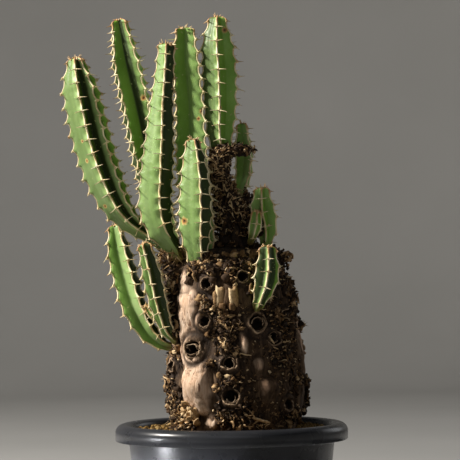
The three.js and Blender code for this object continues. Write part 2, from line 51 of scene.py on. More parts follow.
# Lights: name, place and aim in metres, size in metres, power in watts, colour, spread in degrees
LIGHTS = [
    ("key", (-1.64, -0.2, 1.54), (0, 0, 0.25), (0.3, 0.3), 108, (1.0, 0.955, 0.88), 180),
    ("fill", (1.0, -1.8, 0.8), (0, 0, 0.25), (1.5, 1.5), 0.5, (0.86, 0.92, 1.0), 180),
    ("strip", (0.0, -1.7, 1.5), (0, 0, 0.12), (1.8, 0.07), 2.5, (0.93, 0.96, 1.0), 180),
    ("back", (1.5, 1.3, 0.9), (0, 0, 0.25), (1.0, 1.0), 3, (0.95, 0.97, 1.0), 180),
    ("low", (-0.8, -0.16, 0.045), (0, 0, 0.04), (0.3, 0.04), 2.4, (0.93, 0.95, 1.0), 12)]
WORLD = {"color": (0.78, 0.8, 0.84, 1), "strength": 0.03}
# Seeds of the random draws; a stem's seed comes from its name
SEEDS = {"soil": 5, "stumps": 23, "crust": 31, "bits": 37, "shag": 41, "wood": 53}

# Stems: rib directions in degrees from the front towards +X, each groove's share of the crest radius,
# each groove's painted shade on its left and right flank, the turn of the ribs from foot to top, where the
# horny margin starts, then [x, y, z, crest radius]
STEMS = {
    "far_left": dict(ribs=[-90, -5, 46, 104, 176], grooves=[0.73, 0.34, 0.38, 0.42, 0.42],
                     flank_shade=[(0.49, 0.47), (0.7, 0.9), (0.6, 0.6)], path=[
        [-39, 6, 240, 3.5], [-45, 6, 248, 4], [-54, 3, 255, 5.5], [-63.5, -1, 262, 7.6],
        [-72, -5, 273, 10.6], [-79, -6, 288, 13], [-86, -6, 309, 13.7], [-91, -7, 330, 13.6],
        [-95, -8, 350, 12.6], [-97.5, -8, 366, 5.5]]),
    "tall_left": dict(ribs=[-108, -46, 50, 130, 200], grooves=[0.55, 0.3, 0.38, 0.42, 0.42], twist=-16,
                      flank_shade=[(1, 1), (0, 0.8)], path=[
        [-33, 16, 239, 4], [-40, 19, 256, 8], [-48, 22, 285, 11.5], [-54, 25, 310, 11.8],
        [-60, 25, 340, 11.8], [-66, 24, 368, 11.5], [-70.5, 24, 394, 6]]),
    "front_left": dict(ribs=[-78, 13, 100, 190], grooves=[0.74, 0.32, 0.4, 0.4], twist=-26, horn=16,
                       flank_shade=[(0.26, 0.2), (1, 1)], path=[
        [-32, -12, 237, 4], [-37, -14, 246, 5.8], [-43.5, -15, 256, 9.6], [-47.2, -14, 271, 12.1],
        [-45.6, -14, 297, 11.5], [-43.8, -14, 317, 10], [-42.2, -14, 338, 7.9], [-40.4, -14, 355, 6.5],
        [-38.8, -14, 374, 5.4]]),
    "centre": dict(ribs=[-52, 54, 150, 225], grooves=[0.3, 0.38, 0.4, 0.4], flank_shade=[(0, -0.4)], path=[
        [-15, -8, 230, 4.5], [-16, -6, 241, 8], [-18, -2, 254, 12], [-22, 6, 283, 14.4],
        [-24.2, 12, 309.5, 13.6], [-25.2, 14, 342, 12.3], [-27.2, 14, 368, 11.6], [-27.2, 14, 387, 7.5]]),
    "tall_right": dict(ribs=[-75, -3, 68, 140, 215], grooves=[0.72, 0.54, 0.42, 0.42, 0.42],
                       flank_shade=[(0.66, 0.6)], path=[
        [-3, 12, 300, 4], [-3.8, 13, 308, 6.6], [-5, 13.4, 319, 9.8], [-4.8, 13.8, 335, 12.2],
        [-5, 14.4, 358, 13.2], [-6, 14, 378, 12], [-6, 14, 394, 6]]),
    "front_centre": dict(ribs=[-80, 22, 100, 190], grooves=[0.66, 0.36, 0.4, 0.4],
                         flank_shade=[(0.3, 0.27), (0.95, 0.95)], path=[
        [-18, -19, 228, 3.5], [-20, -23, 238, 6.5], [-21.5, -25, 255, 10.9],
        [-21.5, -25, 269, 11.8], [-21.5, -25, 288, 10], [-22, -24, 304, 7], [-22.5, -24, 312, 4.2]]),
    "back_right": dict(ribs=[-62, 40, 130, 215], path=[
        [5, 14, 276, 3.2], [7.5, 23, 284, 5], [10, 28, 294, 6.8], [10.5, 30, 308, 7.3],
        [9.5, 31, 325, 4.2]]),
    "right": dict(ribs=[-78, -5, 70, 145, 215], path=[
        [22.5, 3, 240, 3.2], [24, 4, 250, 5], [24, 4, 258, 8], [22, 4, 269, 9.2],
        [21.5, 4, 281.5, 5]]),
    "low_right": dict(ribs=[-80, 5, 95, 190], grooves=[0.3, 0.4, 0.4, 0.4], flank_shade=[(0.85, 0.6), (0.85, 0.85)],
                      path=[
        [16, -33, 204, 3], [19, -42, 212, 4.5], [22, -44, 221, 7.6], [23.5, -43, 230, 8.3],
        [24, -43, 243, 5.2]]),
    "low_left": dict(ribs=[-64, 32, 118, 200], grooves=[0.3, 0.38, 0.4, 0.4],
                     flank_shade=[(0.3, 0), (1, 1)], path=[
        [-34, -4, 181, 3.2], [-43, -4, 183, 4], [-52, -4, 190, 7], [-61, -3, 206, 9.5],
        [-67, 2, 225, 9.7], [-71.5, 6, 243, 9], [-74, 9, 258, 5]]),
    "low_inner": dict(ribs=[-85, -15, 58, 125, 200], flank_shade=[(0.3, 0), (0.95, 0.95)], path=[
        [-32, -13, 184, 3], [-39.5, -18, 192, 4.5], [-45, -21, 209, 6.6],
        [-49, -22, 228, 7.2], [-53.5, -23, 246, 4.6]]),
}
# Where the key light comes from, in degrees from the front: faces that turn that way get a lit green painted on,
# the others a shaded green
KEY_LIGHT_FROM = -83
# Two young shoots that the solids leave out
SHOOTS = {
    "young_shoot": dict(ribs=[-70, 10, 90, 180], horn=5, path=[
        [13, -3, 247, 1.6], [15.5, -7, 254, 3.4], [17, -8, 261, 4.4], [17.4, -8, 266, 3]]),
    "dry_sprout": dict(ribs=[-60, 30, 120, 210], horn=4, path=[
        [-38, -10, 199, 1.2], [-44, -11, 199.5, 1.9], [-50, -12, 202, 2.3], [-53, -12, 206.5, 1.6]]),
}
STEM = {"pitch": 9.2, "jitter": 0.6, "groove": 0.38, "scallop": 2.3, "scallop_share": 0.18, "step": 0.92,
        "flank": 6, "crest": 0.5, "dome": 2.4, "horn_start": 8, "young_top": 5}
HORN = {"half_width": 0.62, "half_height": 0.6, "pad": (0.8, 0.62, 1.05), "spine": 5.4, "spread": 1.38,
        "root": 0.38, "tip": 0.1, "sides": 5, "margin_sides": 6, "tuft": 16}

# Woody base, as in the solids: [height, centre x, radius]
BODY_RINGS = np.array([
    [128, 2.5, 39], [135, 3, 40], [144, 3.6, 41.8], [157, 3.7, 43], [168, 3.6, 42.4],
    [180, 3.4, 41], [190, 2.6, 40.4], [201, 2, 40.2], [211, 1, 40], [221, -1, 38.6],
    [229, -2.6, 36.4], [235, -3.4, 32.5], [239.5, -3.4, 26]])
BULGES = [
    [-36, 158, 15, 3.6], [-44, 205, 13, 2.2], [-17, 186, 9, -2.4], [17, 184, 12, 1.8],
    [33, 158, 15, 2.6], [5, 176, 8, -2], [62, 212, 12, 2], [75, 168, 14, 1.8], [-66, 182, 11, -2],
    [-82, 150, 12, 1.6], [120, 190, 16, 2.4], [165, 160, 15, 2.8], [205, 205, 15, 2.2],
    [235, 165, 15, 2.4], [150, 222, 12, -2], [190, 182, 10, -2.2], [100, 145, 12, 2]]
TRUNK_RINGS = np.array([
    [230, 4, 19], [236, 5, 17], [246, 4, 13], [256, 3, 10.6], [267, 1, 9.4], [275, -0.5, 8.6],
    [283, -3.5, 6.8], [292, -5.5, 5.2], [300, -6, 5.2], [307, -4, 6], [311, -3, 3]])
TRUNK_DEPTH = 9
CROWNS = [
    [[-33, 1, 234], [14, 16, 12]], [[22, 3, 233], [15, 15, 14]], [[9, 21, 268], [8, 9, 14]],
    [[16, 7, 258], [10, 9, 6.5]], [[3, 10, 308], [13, 8, 4.2]]]
# Hollow dried stumps: [direction in degrees, height, outer radius, reach]
STUMPS = [
    [-39, 181, 6.4, 4], [-6, 171.5, 5.6, 3.6], [-5, 151, 5.8, 3.6], [-74, 196, 4.2, 3],
    [-73, 170, 4.6, 3], [-26, 198, 4.8, 3], [-20, 222, 4.4, 2.6], [21, 197, 6.6, 2.4],
    [36, 187, 5.4, 3], [50, 145, 4.8, 2.6], [15, 226, 4.2, 2.6], [96, 180, 5.4, 3.4],
    [128, 152, 5, 3], [150, 202, 5.4, 3.2], [182, 170, 5.8, 3.6], [226, 190, 5.2, 3.2],
    [255, 158, 4.8, 3]]
# Swellings and furrows finer than the solids': [direction, height, reach around, reach up, rise]
FORMS = [
    [-37, 156, 12.5, 17, 3.4], [-38, 137, 9, 3.5, -3], [-54, 183, 7, 10, 2.6], [-43, 211, 12, 24, 1.2],
    [-62, 206, 3.5, 22, -2.6], [-27, 208, 3, 12, -2.0], [-23, 158, 3, 14, -2.8], [-60, 160, 4, 13, -2.4],
    [-1, 200, 5, 6, -3.0], [8, 184, 4.5, 11, 3.6], [15, 184, 3, 14, -2.8], [-9, 214, 6.5, 7, 1.6],
    [0, 188, 3, 12, -2.2], [20, 171, 6, 8, 3.0], [28, 164, 8, 2.6, -2.8], [25, 156, 8, 9, 3.6],
    [38, 160, 3.5, 16, -2.6], [13, 160, 3.5, 12, -2.4], [44, 170, 6, 8, 2.2], [47, 150, 7, 12, 2.0],
    [30, 142, 7, 5, -2.2], [60, 182, 3.5, 40, -2.8],
    [78, 180, 8, 44, 1.6], [-22, 133, 6, 6, 1.6], [98, 170, 4, 30, -2.4], [112, 150, 9, 16, 2.2],
    [130, 195, 8, 20, 2.4], [146, 170, 4, 24, -2.6], [160, 185, 8, 26, 2.0], [178, 160, 4, 22, -2.2],
    [200, 195, 9, 22, 2.4], [218, 165, 4, 26, -2.4], [236, 180, 9, 26, 2.2], [256, 200, 4, 20, -2.4],
    [272, 165, 8, 24, 2.0]]
# Pale smooth bark, with painted highlights and a rim of light on the right side (the marks at 7, 19, 23 and 80
# degrees): [direction, height, reach around, reach up, strength]
PALE_AND_LIT = [
    [-47, 226, 4.5, 6, 0.8], [-43, 214, 8.5, 9, 1], [-42, 202, 9, 8, 1], [-47, 194, 7.5, 7, 1],
    [-53, 187, 7, 7, 1], [-56, 180, 7, 6, 1], [-50, 174, 8, 4, 1], [-40, 171, 9, 5, 1],
    [-37, 164.5, 11, 8, 1], [-36.5, 155, 11.5, 9, 1], [-36, 148, 9.5, 6, 1], [-33, 143, 6.5, 4.5, 1],
    [-23, 135, 5.5, 6, 0.75], [7, 185, 3.2, 8, 0.75], [19, 171, 4, 6, 0.5], [23, 157, 4, 8, 0.5],
    [80, 185, 6, 36, 0.55], [200, 160, 12, 14, 1], [236, 205, 9, 18, 0.8], [150, 185, 9, 22, 0.7],
    [280, 185, 7, 20, 0.9]]
# Crust of dry flakes: [direction, height, reach, number, tone]
CRUST = [
    [-80, 158, 8, 70, 1.0], [-64, 150, 7, 70, 1.2], [-58, 139, 7, 90, 1.7], [-50, 132, 6, 70, 1.8],
    [-70, 134, 8, 60, 1.5], [-76, 206, 8, 60, 0.9], [-64, 224, 8, 80, 1.1], [-62, 190, 5, 40, 0.8],
    [-20, 213, 6, 50, 1.1], [-10, 197, 6, 70, 1.2], [-11, 184, 6, 70, 1.3], [-22, 173, 4, 30, 0.9],
    [-3, 161, 6, 60, 1.1], [-8, 150, 6, 60, 1.1], [-10, 138, 7, 60, 0.9], [3, 133, 8, 60, 1.0],
    [-9, 191, 9, 70, 0.6], [-2, 183, 8, 50, 0.5], [-6, 172, 8, 60, 0.6], [-4, 158, 9, 80, 0.5],
    [2, 144, 10, 70, 0.5], [-17, 207, 9, 70, 0.9], [12, 228, 8, 50, 0.9],
    [-34, 235, 8, 60, 1.2], [-68, 178, 8, 60, 0.8], [-74, 144, 9, 70, 1.3], [30, 220, 8, 50, 0.5],
    [35, 208, 8, 40, 0.4], [52, 196, 8, 40, 0.5], [44, 174, 7, 30, 0.6], [60, 226, 8, 50, 0.8],
    [22, 130, 8, 40, 1.0], [5, 233, 8, 60, 1.1], [24, 235, 8, 60, 1.1], [-20, 235, 8, 60, 1.1],
    [29, 212, 7, 60, 0.9], [43, 183, 7, 60, 1.2], [36, 199, 7, 40, 0.8], [60, 160, 6, 20, 0.6],
    [62, 139, 6, 20, 0.8], [84, 138, 5, 8, 0.7], [69, 213, 7, 60, 0.9], [92, 195, 5, 40, 0.8],
    [90, 160, 4, 8, 0.6], [86, 222, 8, 50, 0.9], [118, 215, 9, 60, 1.0], [108, 152, 8, 50, 1.0],
    [140, 140, 9, 60, 1.0], [172, 148, 8, 50, 1.0], [182, 190, 9, 60, 1.0], [165, 225, 9, 60, 1.0],
    [200, 228, 9, 60, 1.1], [218, 190, 7, 50, 1.0], [228, 142, 9, 50, 1.2], [256, 175, 8, 60, 1.0],
    [262, 140, 9, 60, 1.3], [268, 218, 9, 60, 1.0]]
# Places that flakes leave bare, beside the hollows: [direction, height, reach around, reach up, 1]
BARE = [[direction, height, 1.3 * size, 1.3 * size, 1] for direction, height, size, _ in STUMPS]
BARE += [[-6, 214, 11, 7.5, 1], [-46, 210, 5.5, 16, 1], [-54, 184, 5.5, 8, 1], [-37, 156, 9.5, 13, 1],
         [8, 184, 4, 9, 1], [20, 171, 4.5, 6, 1], [25, 156, 6, 8, 1]]
# Sticks and chips: [direction, height, slope, length, half width, tone]
STICKS = [
    [8, 177.5, -0.2, 7.5, 0.8, 0.92], [21, 136, -0.3, 12, 1.7, 0.95], [13, 140, -0.9, 5, 0.9, 0.85],
    [24, 133.5, 0.3, 8, 1.1, 0.95], [17, 135, 0.7, 6, 0.9, 0.9], [10, 132.5, -0.1, 7, 0.9, 0.85],
    [33, 186, -1.0, 6, 0.9, 0.9], [36, 181, -0.4, 4, 0.7, 0.85], [-58, 131, 0.3, 8, 1.0, 0.85],
    [-52, 136, -0.5, 6, 0.9, 0.9], [-70, 148, -0.7, 7, 0.9, 0.9], [64, 139, -1.2, 7, 0.9, 0.8],
    [130, 140, 0.4, 8, 1.0, 0.8], [200, 150, -0.6, 9, 1.1, 0.8], [300, 220, 1.2, 8, 0.9, 0.8]]
# Slabs of broken pale wood: [direction, height, length, width, tone]
SLABS = [
    [-14, 213, 8.5, 3.4, 0.72], [-9.5, 214, 10.5, 6.4, 1.0], [-3.3, 213, 10, 4.4, 0.42],
    [2.6, 214, 10.5, 6.2, 0.97], [-9, 208, 4, 4.2, 0.6], [0, 207.5, 4.5, 4.2, 0.5]]
BUD = {"from": (31, 2, 232), "to": (37.5, 2, 239), "radius": 3.8, "stalk": 1.5}

# Dried wounds on the stems: stem, x and z of the spot as seen from the front, radius
WOUNDS = [
    ("far_left", -82, 271, 1.5), ("far_left", -93, 301, 1.6), ("far_left", -95.5, 313, 1.3),
    ("tall_left", -56, 344, 2.2), ("centre", -17, 334, 2.0), ("centre", -19, 329, 1.6),
    ("tall_right", -2, 336, 1.6), ("tall_right", -1, 387, 2.2), ("front_centre", -30, 262, 2.6),
]

# Pot and soil, as in the solids
POT = {"rim": 75, "roll": (5.5, 5.2), "lip": 2.2, "top": 132, "web_top": 4.4, "web_bottom": 5.7,
       "rim_height": 10.5,
       "wall_top": 66.3, "wall_bottom": 53, "inner_top": 64.1, "inner_drop": 3.5, "floor_radius": 50,
       "floor": 5, "foot": 2.5, "foot_in": 48, "pad": 16, "slope": 1.5, "sides": 144}
DRAINS = {"count": 5, "circle": 32, "radius": 5, "sides": 32}
SOIL = {"level": 128, "inner": 38, "outer": 63, "grains": 1500, "size": 1.75}
# Points round and rows up the bark
BASE_GRID, TRUNK_GRID, CROWN_GRID = (310, 176), (104, 130), (76, 46)
# Round figure for the base's radius, by which its patches are measured
GIRTH = 40
# The heights between which loose things lie on the base
LOOSE = (128.5, 239)
# How many of each are scattered, and the share of the flakes listed in CRUST that is laid
COUNTS = {"crumbs": 4200, "scales": 2600, "shells": 440, "foot_chips": 46, "side_bits": 900, "top_lumps": 46,
          "tangle": 260, "crown": 350, "trunk": 950, "spikes": 150}
CRUST_SHARE = 0.7


# Noise on arrays of points

def lattice(ix, iy, iz, seed):
    """A fixed value from -1 to 1 at each point of a whole-number grid."""
    value = (ix * 374761393 + iy * 668265263 + iz * 2147483629 + seed * 1274126177) & 0xFFFFFFFF
    value = ((value ^ (value >> 13)) * 1274126177) & 0xFFFFFFFF
    value = ((value ^ (value >> 16)) * 668265263) & 0xFFFFFFFF
    return (value ^ (value >> 15)) / 0x7FFFFFFF - 1.0


def noise(points, seed=0):
    """Smooth value noise from -1 to 1 at each point."""
    base = np.floor(points).astype(np.int64)
    part = points - base
    part = part * part * (3 - 2 * part)
    total = np.zeros(len(points))
    for corner in range(8):
        step = [(corner >> axis) & 1 for axis in range(3)]
        weight = np.ones(len(points))
        for axis in range(3):
            weight *= part[:, axis] if step[axis] else 1 - part[:, axis]
        total += weight * lattice(*(base[:, axis] + step[axis] for axis in range(3)), seed)
    return total


def cloud(points, size, octaves=3, seed=0):
    """Fractal noise with a feature size in mm."""
    size = np.asarray(size, float)
    total, scale = 0, 1.0
    for octave in range(octaves):
        total = total + noise(points / size / scale + 17.3 * octave, seed + octave) * scale
        scale *= 0.5
    return total


def creases(points, size, seed=0):
    """1 along thin winding lines and 0 between them."""
    return 1 - np.clip(np.abs(noise(points / np.asarray(size, float), seed)) * 4, 0, 1)


# Mesh building

def new_object(name, data):
    made = bpy.data.objects.new(name, data)
    bpy.context.scene.collection.objects.link(made)
    return made


class Build:
    """Collects points, faces and painted values, then makes one piece from them."""

    def __init__(self, *paints):
        self.points, self.faces, self.count = [], [], 0
        self.paints = {name: [] for name in paints}

    def add(self, points, faces, **paints):
        points = np.asarray(points, float).reshape(-1, 3)
        self.faces.extend((np.asarray(part) + self.count) for part in faces if len(part))
        self.points.append(points)
        for name, values in self.paints.items():
            values.append(np.broadcast_to(paints.get(name, 0.0), len(points)))
        self.count += len(points)

    def piece(self, name, material, slot, *nodes):
        mesh = bpy.data.meshes.new(name)
        faces = [face for part in self.faces for face in part.tolist()]
        mesh.from_pydata((np.concatenate(self.points) * MM).tolist(), [], faces)
        for paint, values in self.paints.items():
            layer = mesh.attributes.new(paint, "FLOAT", "POINT")
            layer.data.foreach_set("value", np.concatenate(values).astype(np.float32))
        mesh.shade_smooth()
        mesh.materials.append(material)
        piece = new_object(name, mesh)
        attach(piece, "root")
        if nodes:
            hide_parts(*nodes)
        return piece


def grid_faces(rows, columns):
    """Quads over rows of points that each close on themselves."""
    row, column = np.meshgrid(np.arange(rows - 1), np.arange(columns), indexing="ij")
    start = (row * columns + column).ravel()
    side = (row * columns + (column + 1) % columns).ravel()
    return np.stack([start, side, side + columns, start + columns], 1)


def capped(rings, first=None, last=None):
    """Points and faces of a skin over rings, closed with a point at each end."""
    rings = np.asarray(rings)
    rows, columns = rings.shape[:2]
    points = rings.reshape(-1, 3)
    ends = [rings[0].mean(0) if first is None else first, rings[-1].mean(0) if last is None else last]
    points = np.vstack([points, ends])
    column = np.arange(columns)
    side = (column + 1) % columns
    top = (rows - 1) * columns
    low = np.stack([np.full(columns, rows * columns), side, column], 1)
    high = np.stack([np.full(columns, rows * columns + 1), top + column, top + side], 1)
    return points, [grid_faces(rows, columns), low, high]


def unit(vectors):
    return vectors / np.maximum(np.linalg.norm(vectors, axis=-1, keepdims=True), 1e-9)


def around(angle, reach, height, x=0.0, y=0.0):
    """Points at a direction, in radians from the front, a reach and a height round an upright axis."""
    return np.stack([x + reach * np.sin(angle), y - reach * np.cos(angle), height + 0 * angle], -1)


def tube(path, radii, sides=6, flat=1.0, up=(0.13, 0.27, 0.95)):
    """Skin of a bar along a path with a radius at each point."""
    path = np.asarray(path, float)
    radii = np.broadcast_to(radii, len(path))
    along = unit(np.gradient(path, axis=0))
    aside = unit(np.cross(along, up))
    third = np.cross(along, aside)
    angles = np.linspace(0, 2 * np.pi, sides, endpoint=False)
    rings = (path[:, None] + radii[:, None, None] * (
        np.cos(angles)[None, :, None] * aside[:, None]
        + flat * np.sin(angles)[None, :, None] * third[:, None]))
    return capped(rings[:, ::-1])


def add_strand(build, root, reach, bend, radii, sides=5, **paints):
    """Adds a bent spine or fibre with a radius at each of its points."""
    share = np.linspace(0, 1, len(radii))[:, None]
    points, faces = tube(root + reach * share + bend * share ** 2, radii, sides)
    build.add(points, faces, **paints)


def rows_at(rows, heights):
    """Centre x and radius of a list of rings at any heights, smoothed."""
    fine = np.linspace(rows[0, 0], rows[-1, 0], 200)
    result = []
    for column in (1, 2):
        values = np.interp(fine, rows[:, 0], rows[:, column])
        padded = np.pad(values, 8, mode="reflect", reflect_type="odd")
        values = np.convolve(padded, np.ones(17) / 17, mode="valid")
        result.append(np.interp(heights, fine, values))
    return result


# Materials

def new_material(name):
    material = bpy.data.materials.new(name)
    material.use_nodes = True
    tree = material.node_tree
    shader = tree.nodes["Principled BSDF"]
    return material, tree, shader


def node(tree, kind, settings=None, **inputs):
    """Adds a shader node. An input called i and a number is the one at that place."""
    made = tree.nodes.new(kind)
    for key, value in (settings or {}).items():
        setattr(made, key, value)
    for key, value in inputs.items():
        socket = made.inputs[int(key[1:])] if key[0] == "i" and key[1:].isdigit() else made.inputs[key]
        if isinstance(value, bpy.types.NodeSocket):
            tree.links.new(value, socket)
        else:
            socket.default_value = value
    return made


def maths(tree, operation, *values):
    inputs = {f"i{order}": value for order, value in enumerate(values)}
    return node(tree, "ShaderNodeMath", {"operation": operation}, **inputs).outputs[0]


def painted(tree, name):
    return node(tree, "ShaderNodeAttribute", {"attribute_name": name}).outputs["Fac"]


def noise_map(tree, scale, detail=4.0, rough=0.55, stretch=(1, 1, 1), distortion=0.0):
    place = node(tree, "ShaderNodeNewGeometry").outputs["Position"]
    turned = node(tree, "ShaderNodeMapping", Vector=place, Scale=stretch).outputs[0]
    return node(tree, "ShaderNodeTexNoise", Vector=turned, Scale=scale, Detail=detail, Roughness=rough,
                Distortion=distortion).outputs[0]


def ramp(tree, value, stops):
    made = node(tree, "ShaderNodeValToRGB", Fac=value)
    band = made.color_ramp
    while len(band.elements) < len(stops):
        band.elements.new(0.5)
    for element, (position, color) in zip(band.elements, stops):
        element.position = position
        element.color = (*color, 1)
    return made.outputs["Color"]


def mixed(tree, share, first, second, mode="MIX"):
    made = node(tree, "ShaderNodeMix", {"data_type": "RGBA", "blend_type": mode})
    for socket, value in ((made.inputs[0], share), (made.inputs[6], first), (made.inputs[7], second)):
        if isinstance(value, bpy.types.NodeSocket):
            tree.links.new(value, socket)
        else:
            socket.default_value = value if isinstance(value, float) else (*value, 1)
    return made.outputs[2]


def stepped(tree, value, low, high, to_low=0.0, to_high=1.0):
    """Turns the range from low to high into another, and stops at its ends."""
    return node(tree, "ShaderNodeMapRange", i0=value, i1=low, i2=high, i3=to_low, i4=to_high).outputs[0]


def dressed(parts, color, roughness, bump, specular=0.5):
    """Wires up a material: colour, roughness, a bump of some height, strength and distance, and gloss."""
    material, tree, shader = parts
    for name, value in (("Base Color", color), ("Roughness", roughness), ("Specular IOR Level", specular)):
        if isinstance(value, bpy.types.NodeSocket):
            tree.links.new(value, shader.inputs[name])
        else:
            shader.inputs[name].default_value = value
    if bump:
        height, strength, distance = bump
        made = node(tree, "ShaderNodeBump", Height=height, Strength=strength, Distance=distance)
        tree.links.new(made.outputs[0], shader.inputs["Normal"])
    return material


def toned_material(name, stops, mottle, roughness, bump, specular):
    """Dry stuff in which each small piece has a painted tone of its own, mottled a little."""
    parts = new_material(name)
    tree = parts[1]
    tone = ramp(tree, painted(tree, "tone"), stops)
    scale, rough, dull = mottle
    spotted = ramp(tree, noise_map(tree, scale, 4, rough), [(0.3, dull), (0.65, (1, 1, 1))])
    scale, *detail, strength, distance = bump
    return dressed(parts, mixed(tree, 1.0, tone, spotted, "MULTIPLY"), roughness,
                   (noise_map(tree, scale, *detail), strength, distance), specular)


def flesh_material():
    """Waxy green skin, paler beside the margin, with dried wounds and a woody foot. A lit green and a shaded green
    are painted on by how each face turns to the key light, and painted shade falls on narrow grooves and on flanks
    in shadow.
    """
    parts = new_material("stem_skin")
    _, tree, shader = parts
    # Lit green: painted on the faces that turn towards the key light
    tone = ramp(tree, noise_map(tree, 90, 5, 0.6, (1, 1, 0.5)),
                [(0.3, (0.19, 0.31, 0.085)), (0.55, (0.26, 0.39, 0.13)), (0.75, (0.33, 0.46, 0.19))])
    # Shaded green: painted on the faces that turn away from the key light
    shaded_green = ramp(tree, noise_map(tree, 90, 5, 0.6, (1, 1, 0.5)),
                 [(0.3, (0.13, 0.29, 0.022)), (0.55, (0.18, 0.37, 0.04)), (0.75, (0.23, 0.43, 0.07))])
    skin = mixed(tree, painted(tree, "sun"), shaded_green, tone)
    beside = mixed(tree, stepped(tree, painted(tree, "edge"), 0.0, 0.2, 0.25, 0.0), skin, (0.42, 0.5, 0.2))
    # Painted shade: narrow grooves and flanks in shadow are mixed towards near black
    pale = mixed(tree, stepped(tree, painted(tree, "deep"), 0.1, 1.0, 0.0, 0.93), beside, (0.012, 0.022, 0.002))
    specks = stepped(tree, noise_map(tree, 420, 2, 0.5), 0.68, 0.74)
    speckled = mixed(tree, specks, pale, (0.3, 0.36, 0.12))
    wound = ramp(tree, painted(tree, "wound"), [
        (0.0, (0.05, 0.02, 0.006)), (0.2, (0.12, 0.045, 0.012)), (0.42, (0.5, 0.25, 0.07)),
        (0.62, (0.55, 0.42, 0.16))])
    ragged = maths(tree, "MULTIPLY_ADD", noise_map(tree, 700, 3, 0.6), 0.9, -0.45)
    gap = maths(tree, "ADD", painted(tree, "wound"), ragged)
    healed = mixed(tree, stepped(tree, gap, 0.5, 0.8, 0.95, 0.0), speckled, wound)
    foot_noise = noise_map(tree, 260, 4, 0.6)
    foot = ramp(tree, foot_noise, [(0.3, (0.12, 0.07, 0.02)), (0.7, (0.38, 0.26, 0.08))])
    shader.inputs["Subsurface Weight"].default_value = 0.06
    shader.inputs["Subsurface Radius"].default_value = (0.3, 0.6, 0.1)
    shader.inputs["Subsurface Scale"].default_value = 0.002
    fine = noise_map(tree, 900, 3, 0.6, (1, 1, 2.2))
    return dressed(parts, mixed(tree, painted(tree, "foot"), healed, foot),
                   stepped(tree, foot_noise, 0.3, 0.7, 0.36, 0.55), (fine, 0.25, 0.0004), 0.32)


def horn_material():
    """Cream horny margin and spines with brown tips and stains."""
    parts = new_material("horn")
    tree = parts[1]
    tone = ramp(tree, noise_map(tree, 160, 5, 0.6), [
        (0.28, (0.36, 0.2, 0.07)), (0.42, (0.66, 0.52, 0.27)), (0.6, (0.78, 0.69, 0.44)),
        (0.8, (0.86, 0.8, 0.58))])
    fresh = mixed(tree, painted(tree, "young"), tone, (0.42, 0.2, 0.06))
    tipped = mixed(tree, stepped(tree, painted(tree, "tip"), 0.55, 1.0), fresh, (0.2, 0.09, 0.035))
    return dressed(parts, tipped, 0.5, (noise_map(tree, 1100, 3, 0.6), 0.3, 0.0003))


def bark_material():
    """Dry bark: pale and fissured where smooth, blackish brown where crusted, with painted shade in its cracks,
    gaps and bores, and painted highlights carried by the pale paint on its right side.
    """
    parts = new_material("bark")
    tree = parts[1]
    grain = noise_map(tree, 330, 6, 0.65, (1, 1, 0.2), 0.5)
    smooth = ramp(tree, grain, [(0.25, (0.3, 0.175, 0.105)), (0.42, (0.5, 0.345, 0.235)),
                                (0.6, (0.66, 0.5, 0.375)), (0.8, (0.78, 0.64, 0.51))])
    brown = ramp(tree, grain, [(0.25, (0.016, 0.009, 0.005)), (0.45, (0.052, 0.03, 0.016)),
                               (0.6, (0.115, 0.07, 0.038)), (0.8, (0.24, 0.155, 0.092))])
    rough = ramp(tree, noise_map(tree, 420, 6, 0.7), [
        (0.3, (0.01, 0.007, 0.005)), (0.5, (0.035, 0.021, 0.013)), (0.64, (0.1, 0.062, 0.037)),
        (0.8, (0.28, 0.185, 0.1))])
    blush = stepped(tree, noise_map(tree, 34, 3, 0.5), 0.45, 0.7, 0.0, 0.55)
    warm = mixed(tree, blush, smooth, (0.5, 0.27, 0.15))
    waves = noise_map(tree, 300, 2.0, 0.5, (1, 1, 0.1), 0.35)
    ridge = maths(tree, "ABSOLUTE", maths(tree, "SUBTRACT", waves, 0.5))
    fissure = stepped(tree, ridge, 0.004, 0.022, 1.0, 0.0)
    some = stepped(tree, noise_map(tree, 120, 2, 0.5), 0.42, 0.55)
    ripped = mixed(tree, maths(tree, "MULTIPLY", fissure, some), warm, (0.2, 0.1, 0.055))
    # The pale paint gives pale bark, and on the right side painted highlights and a rim of light
    worn = mixed(tree, painted(tree, "pale"), brown, ripped)
    tone = mixed(tree, painted(tree, "crust"), worn, rough)
    # Painted shade in the cracks, the gaps between crust plates and the bores
    shaded = mixed(tree, painted(tree, "cavity"), tone, (0.012, 0.007, 0.005))
    return dressed(parts, shaded, 0.85, (maths(tree, "MULTIPLY_ADD", fissure, -0.5, grain), 0.7, 0.0009), 0.25)


def pot_material():
    """Dark grey moulded plastic with faint scuffs and dust."""
    parts = new_material("pot_plastic")
    tree = parts[1]
    cloudy = noise_map(tree, 26, 5, 0.6)
    tone = ramp(tree, cloudy, [(0.3, (0.017, 0.018, 0.021)), (0.7, (0.026, 0.027, 0.031))])
    dust = stepped(tree, noise_map(tree, 800, 3, 0.7), 0.66, 0.78, 0.0, 0.5)
    return dressed(parts, mixed(tree, dust, tone, (0.17, 0.16, 0.145)),
                   stepped(tree, cloudy, 0.3, 0.7, 0.24, 0.33),
                   (noise_map(tree, 420, 4, 0.6, (1, 1, 0.35)), 0.12, 0.0003), 0.3)


FLESH, HORNY, BARK = flesh_material(), horn_material(), bark_material()
